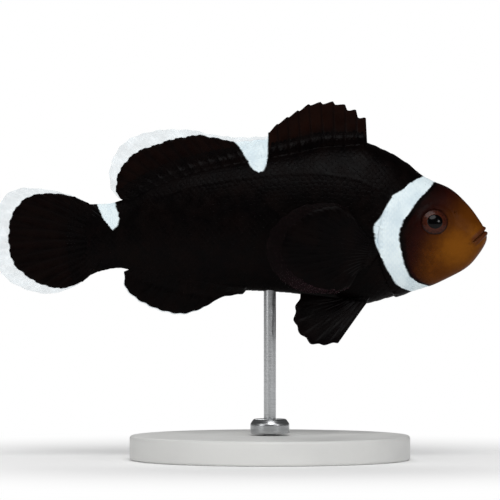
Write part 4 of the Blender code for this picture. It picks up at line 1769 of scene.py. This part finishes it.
@dataclass(frozen=True)
class Lamp:
    """A round area lamp that faces the fish."""

    name: str
    place: tuple[float, float, float]  # from the fish
    size: float
    power: float  # in watts

    def hang(self) -> None:
        """Hangs the lamp, turned so that its axis runs through the fish."""
        data = bpy.data.lights.new(self.name, "AREA")
        data.shape = "DISK"
        data.size = self.size * MM
        data.energy = self.power
        made = bpy.data.objects.new(self.name, data)
        place = np.array(self.place, float)
        made.location = (FISH_PLACE + place) * MM
        pitch = np.arccos(place[2] / np.linalg.norm(place))
        made.rotation_euler = (pitch, 0, np.arctan2(place[0], -place[1]))
        bpy.context.scene.collection.objects.link(made)


@dataclass(frozen=True)
class Studio:
    """A level camera on the fish's right side, soft lamps and a pale floor."""

    view_centre: tuple[float, float] = (-2.46, -2.13)  # station and height at the picture's centre
    view_width: float = 82.0
    lens: float = 300.0
    sensor: float = 36.0
    floor_half: float = 1500.0
    backdrop: float = 1.0
    ambient: float = 0.30
    reflected: float = 0.08  # the surroundings' brightness in reflections
    lamps: tuple[Lamp, ...] = (
        Lamp("key", (60, -360, 420), 360, 1.7),
        Lamp("face", (400, -400, 170), 110, 0.42),
        Lamp("fill", (-380, -300, 160), 300, 0.45),
        Lamp("back", (-60, 360, 320), 260, 0.5),
    )

    def camera(self) -> None:
        """Sets a level long-lens camera so that the fish's middle plane fills the wanted width."""
        data = bpy.data.cameras.new("camera")
        data.lens = self.lens
        data.sensor_width = self.sensor
        data.clip_end = 20.0
        distance = self.view_width * self.lens / self.sensor
        made = bpy.data.objects.new("camera", data)
        place = FISH_PLACE + np.array([self.view_centre[0], -distance, self.view_centre[1]])
        made.location = place * MM
        made.rotation_euler = (np.pi / 2, 0, 0)
        bpy.context.scene.collection.objects.link(made)
        bpy.context.scene.camera = made

    def world(self) -> None:
        """Lights the scene evenly, dimmer in reflections, with a white backdrop for the camera alone."""
        world = bpy.data.worlds.new("studio")
        world.use_nodes = True
        tree = world.node_tree
        lit = tree.nodes["Background"]
        lit.inputs["Color"].default_value = (1, 1, 1, 1)
        shown = tree.nodes.new("ShaderNodeBackground")
        shown.inputs["Color"].default_value = (1, 1, 1, 1)
        shown.inputs["Strength"].default_value = self.backdrop
        path = tree.nodes.new("ShaderNodeLightPath")
        mixed = tree.nodes.new("ShaderNodeMixShader")
        tree.links.new(path.outputs["Is Camera Ray"], mixed.inputs[0])
        dimmed = tree.nodes.new("ShaderNodeMapRange")
        dimmed.inputs["To Min"].default_value = self.ambient
        dimmed.inputs["To Max"].default_value = self.reflected
        tree.links.new(path.outputs["Is Glossy Ray"], dimmed.inputs["Value"])
        tree.links.new(dimmed.outputs["Result"], lit.inputs["Strength"])
        tree.links.new(lit.outputs[0], mixed.inputs[1])
        tree.links.new(shown.outputs[0], mixed.inputs[2])
        tree.links.new(mixed.outputs[0], tree.nodes["World Output"].inputs["Surface"])
        bpy.context.scene.world = world

    def floor(self) -> None:
        """Lays a large flat floor under the stand."""
        half = self.floor_half
        points = np.array([[-half, -half, 0.0], [half, -half, 0.0], [half, half, 0.0], [-half, half, 0.0]])
        made = Patch(points, [np.array([[0, 1, 2, 3]])]).build("floor", FloorFinish(), np.zeros(3))

    def build(self) -> None:
        """Sets the camera, lamps, world and floor."""
        self.camera()
        self.world()
        self.floor()
        for lamp in self.lamps:
            lamp.hang()
        bpy.context.scene.view_settings.view_transform = "Standard"


# The fish
# --------


@dataclass(frozen=True)
class Clownfish:
    """The whole fish: skin, clear fin margins, scales and eyes."""

    body: Body = Body()
    markings: Markings = Markings()
    sheathed: tuple[tuple[str, float], ...] = (
        ("dorsal_fin_spiny", 1.3), ("dorsal_fin_soft", 2.0), ("anal_fin", 1.6), ("tail_fin", 3.6),
    )

    def skin(self, fins: list[Fin]) -> bpy.types.Object:
        """Makes the one skin of body and fins, which stands for every solid of flesh."""
        patches = [self.body.patch(self.markings)] + [fin.patch(self.markings) for fin in fins]
        made = Patch.joined(patches).build("skin", FleshFinish())
        flesh = [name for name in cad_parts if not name.startswith(("stand_", "eye_"))]
        return self.placed(made, "black_skin", *flesh)

    def films(self, fins: list[Fin]) -> None:
        """Makes the clear margins: pale on the middle fins, smoky on the pectorals."""
        edged = [fin for fin in fins if max(width for _, width in fin.margin) > 0]
        for name, finish, slot, smoky in (
            ("fin_margins_clear", CLEAR_MARGIN, "black_fin", False),
            ("fin_margins_smoky", SMOKY_MARGIN, "brown_fin", True),
        ):
            patches = [fin.film() for fin in edged if fin.name.startswith("pectoral") is smoky]
            self.placed(Patch.joined(patches).build(name, finish), slot)

    def scales(self, fins: list[Fin]) -> None:
        """Makes the coat: each side's trunk, each side's head, and the sheaths of the middle fins."""
        finish = FleshFinish("fish scales", scaled=True)
        for side in SIDES:
            chart = FlankChart(self.body, side)
            trunk = Coat(self.body, self.markings).patch(chart)
            self.placed(trunk.build(f"scales_trunk_{side_name(side)}", finish), "black_skin")
            head = HeadCoat(self.body, self.markings).patch(chart)
            self.placed(head.build(f"scales_head_{side_name(side)}", finish), "brown_skin")
        reach = dict(self.sheathed)
        carried = [fin for fin in fins if fin.name in reach]
        patches = [
            SheathCoat(fin, self.markings, reach[fin.name]).patch(band, len(carried))
            for band, fin in enumerate(carried)
        ]
        self.placed(Patch.joined(patches).build("scales_fin_bases", finish), "black_fin")

    def eyes(self) -> None:
        """Makes both eyes."""
        for side in SIDES:
            made = Eye(self.body, side).patch().build(f"eyeball_{side_name(side)}", EyeFinish())
            self.placed(made, "eye", f"eye_{side_name(side)}")

    @staticmethod
    def placed(made: bpy.types.Object, slot: str, *nodes: str) -> bpy.types.Object:
        """Rides a piece on the root body, hides the solids that it replaces, and logs its count of faces."""
        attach(made, "root")
        if nodes:
            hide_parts(*nodes)
        LOG.info("%s: %d faces", made.name, len(made.data.polygons))
        return made

    def build(self) -> None:
        """Makes every piece of the fish."""
        fins = fins_of(self.body)
        self.skin(fins)
        self.films(fins)
        self.scales(fins)
        self.eyes()


def build_stand() -> None:
    """Makes the stand's pieces in place of their solids."""
    finishes = {
        "stand_base_painted": (PaintFinish(), "stand_paint", "stand_base"),
        "stand_collar_turned": (SteelFinish(), "stand_steel", "stand_collar"),
        "stand_rod_brushed": (SteelFinish(), "stand_steel", "stand_rod"),
    }
    for name, patch in Stand().patches().items():
        finish, slot, node = finishes[name]
        Clownfish.placed(patch.build(name, finish, np.zeros(3)), slot, node)


def main() -> None:
    """Builds the fish, its stand and the studio, in that order."""
    logging.basicConfig(level=logging.INFO)
    Clownfish().build()
    build_stand()
    Studio().build()


if __name__ == "__main__":
    main()
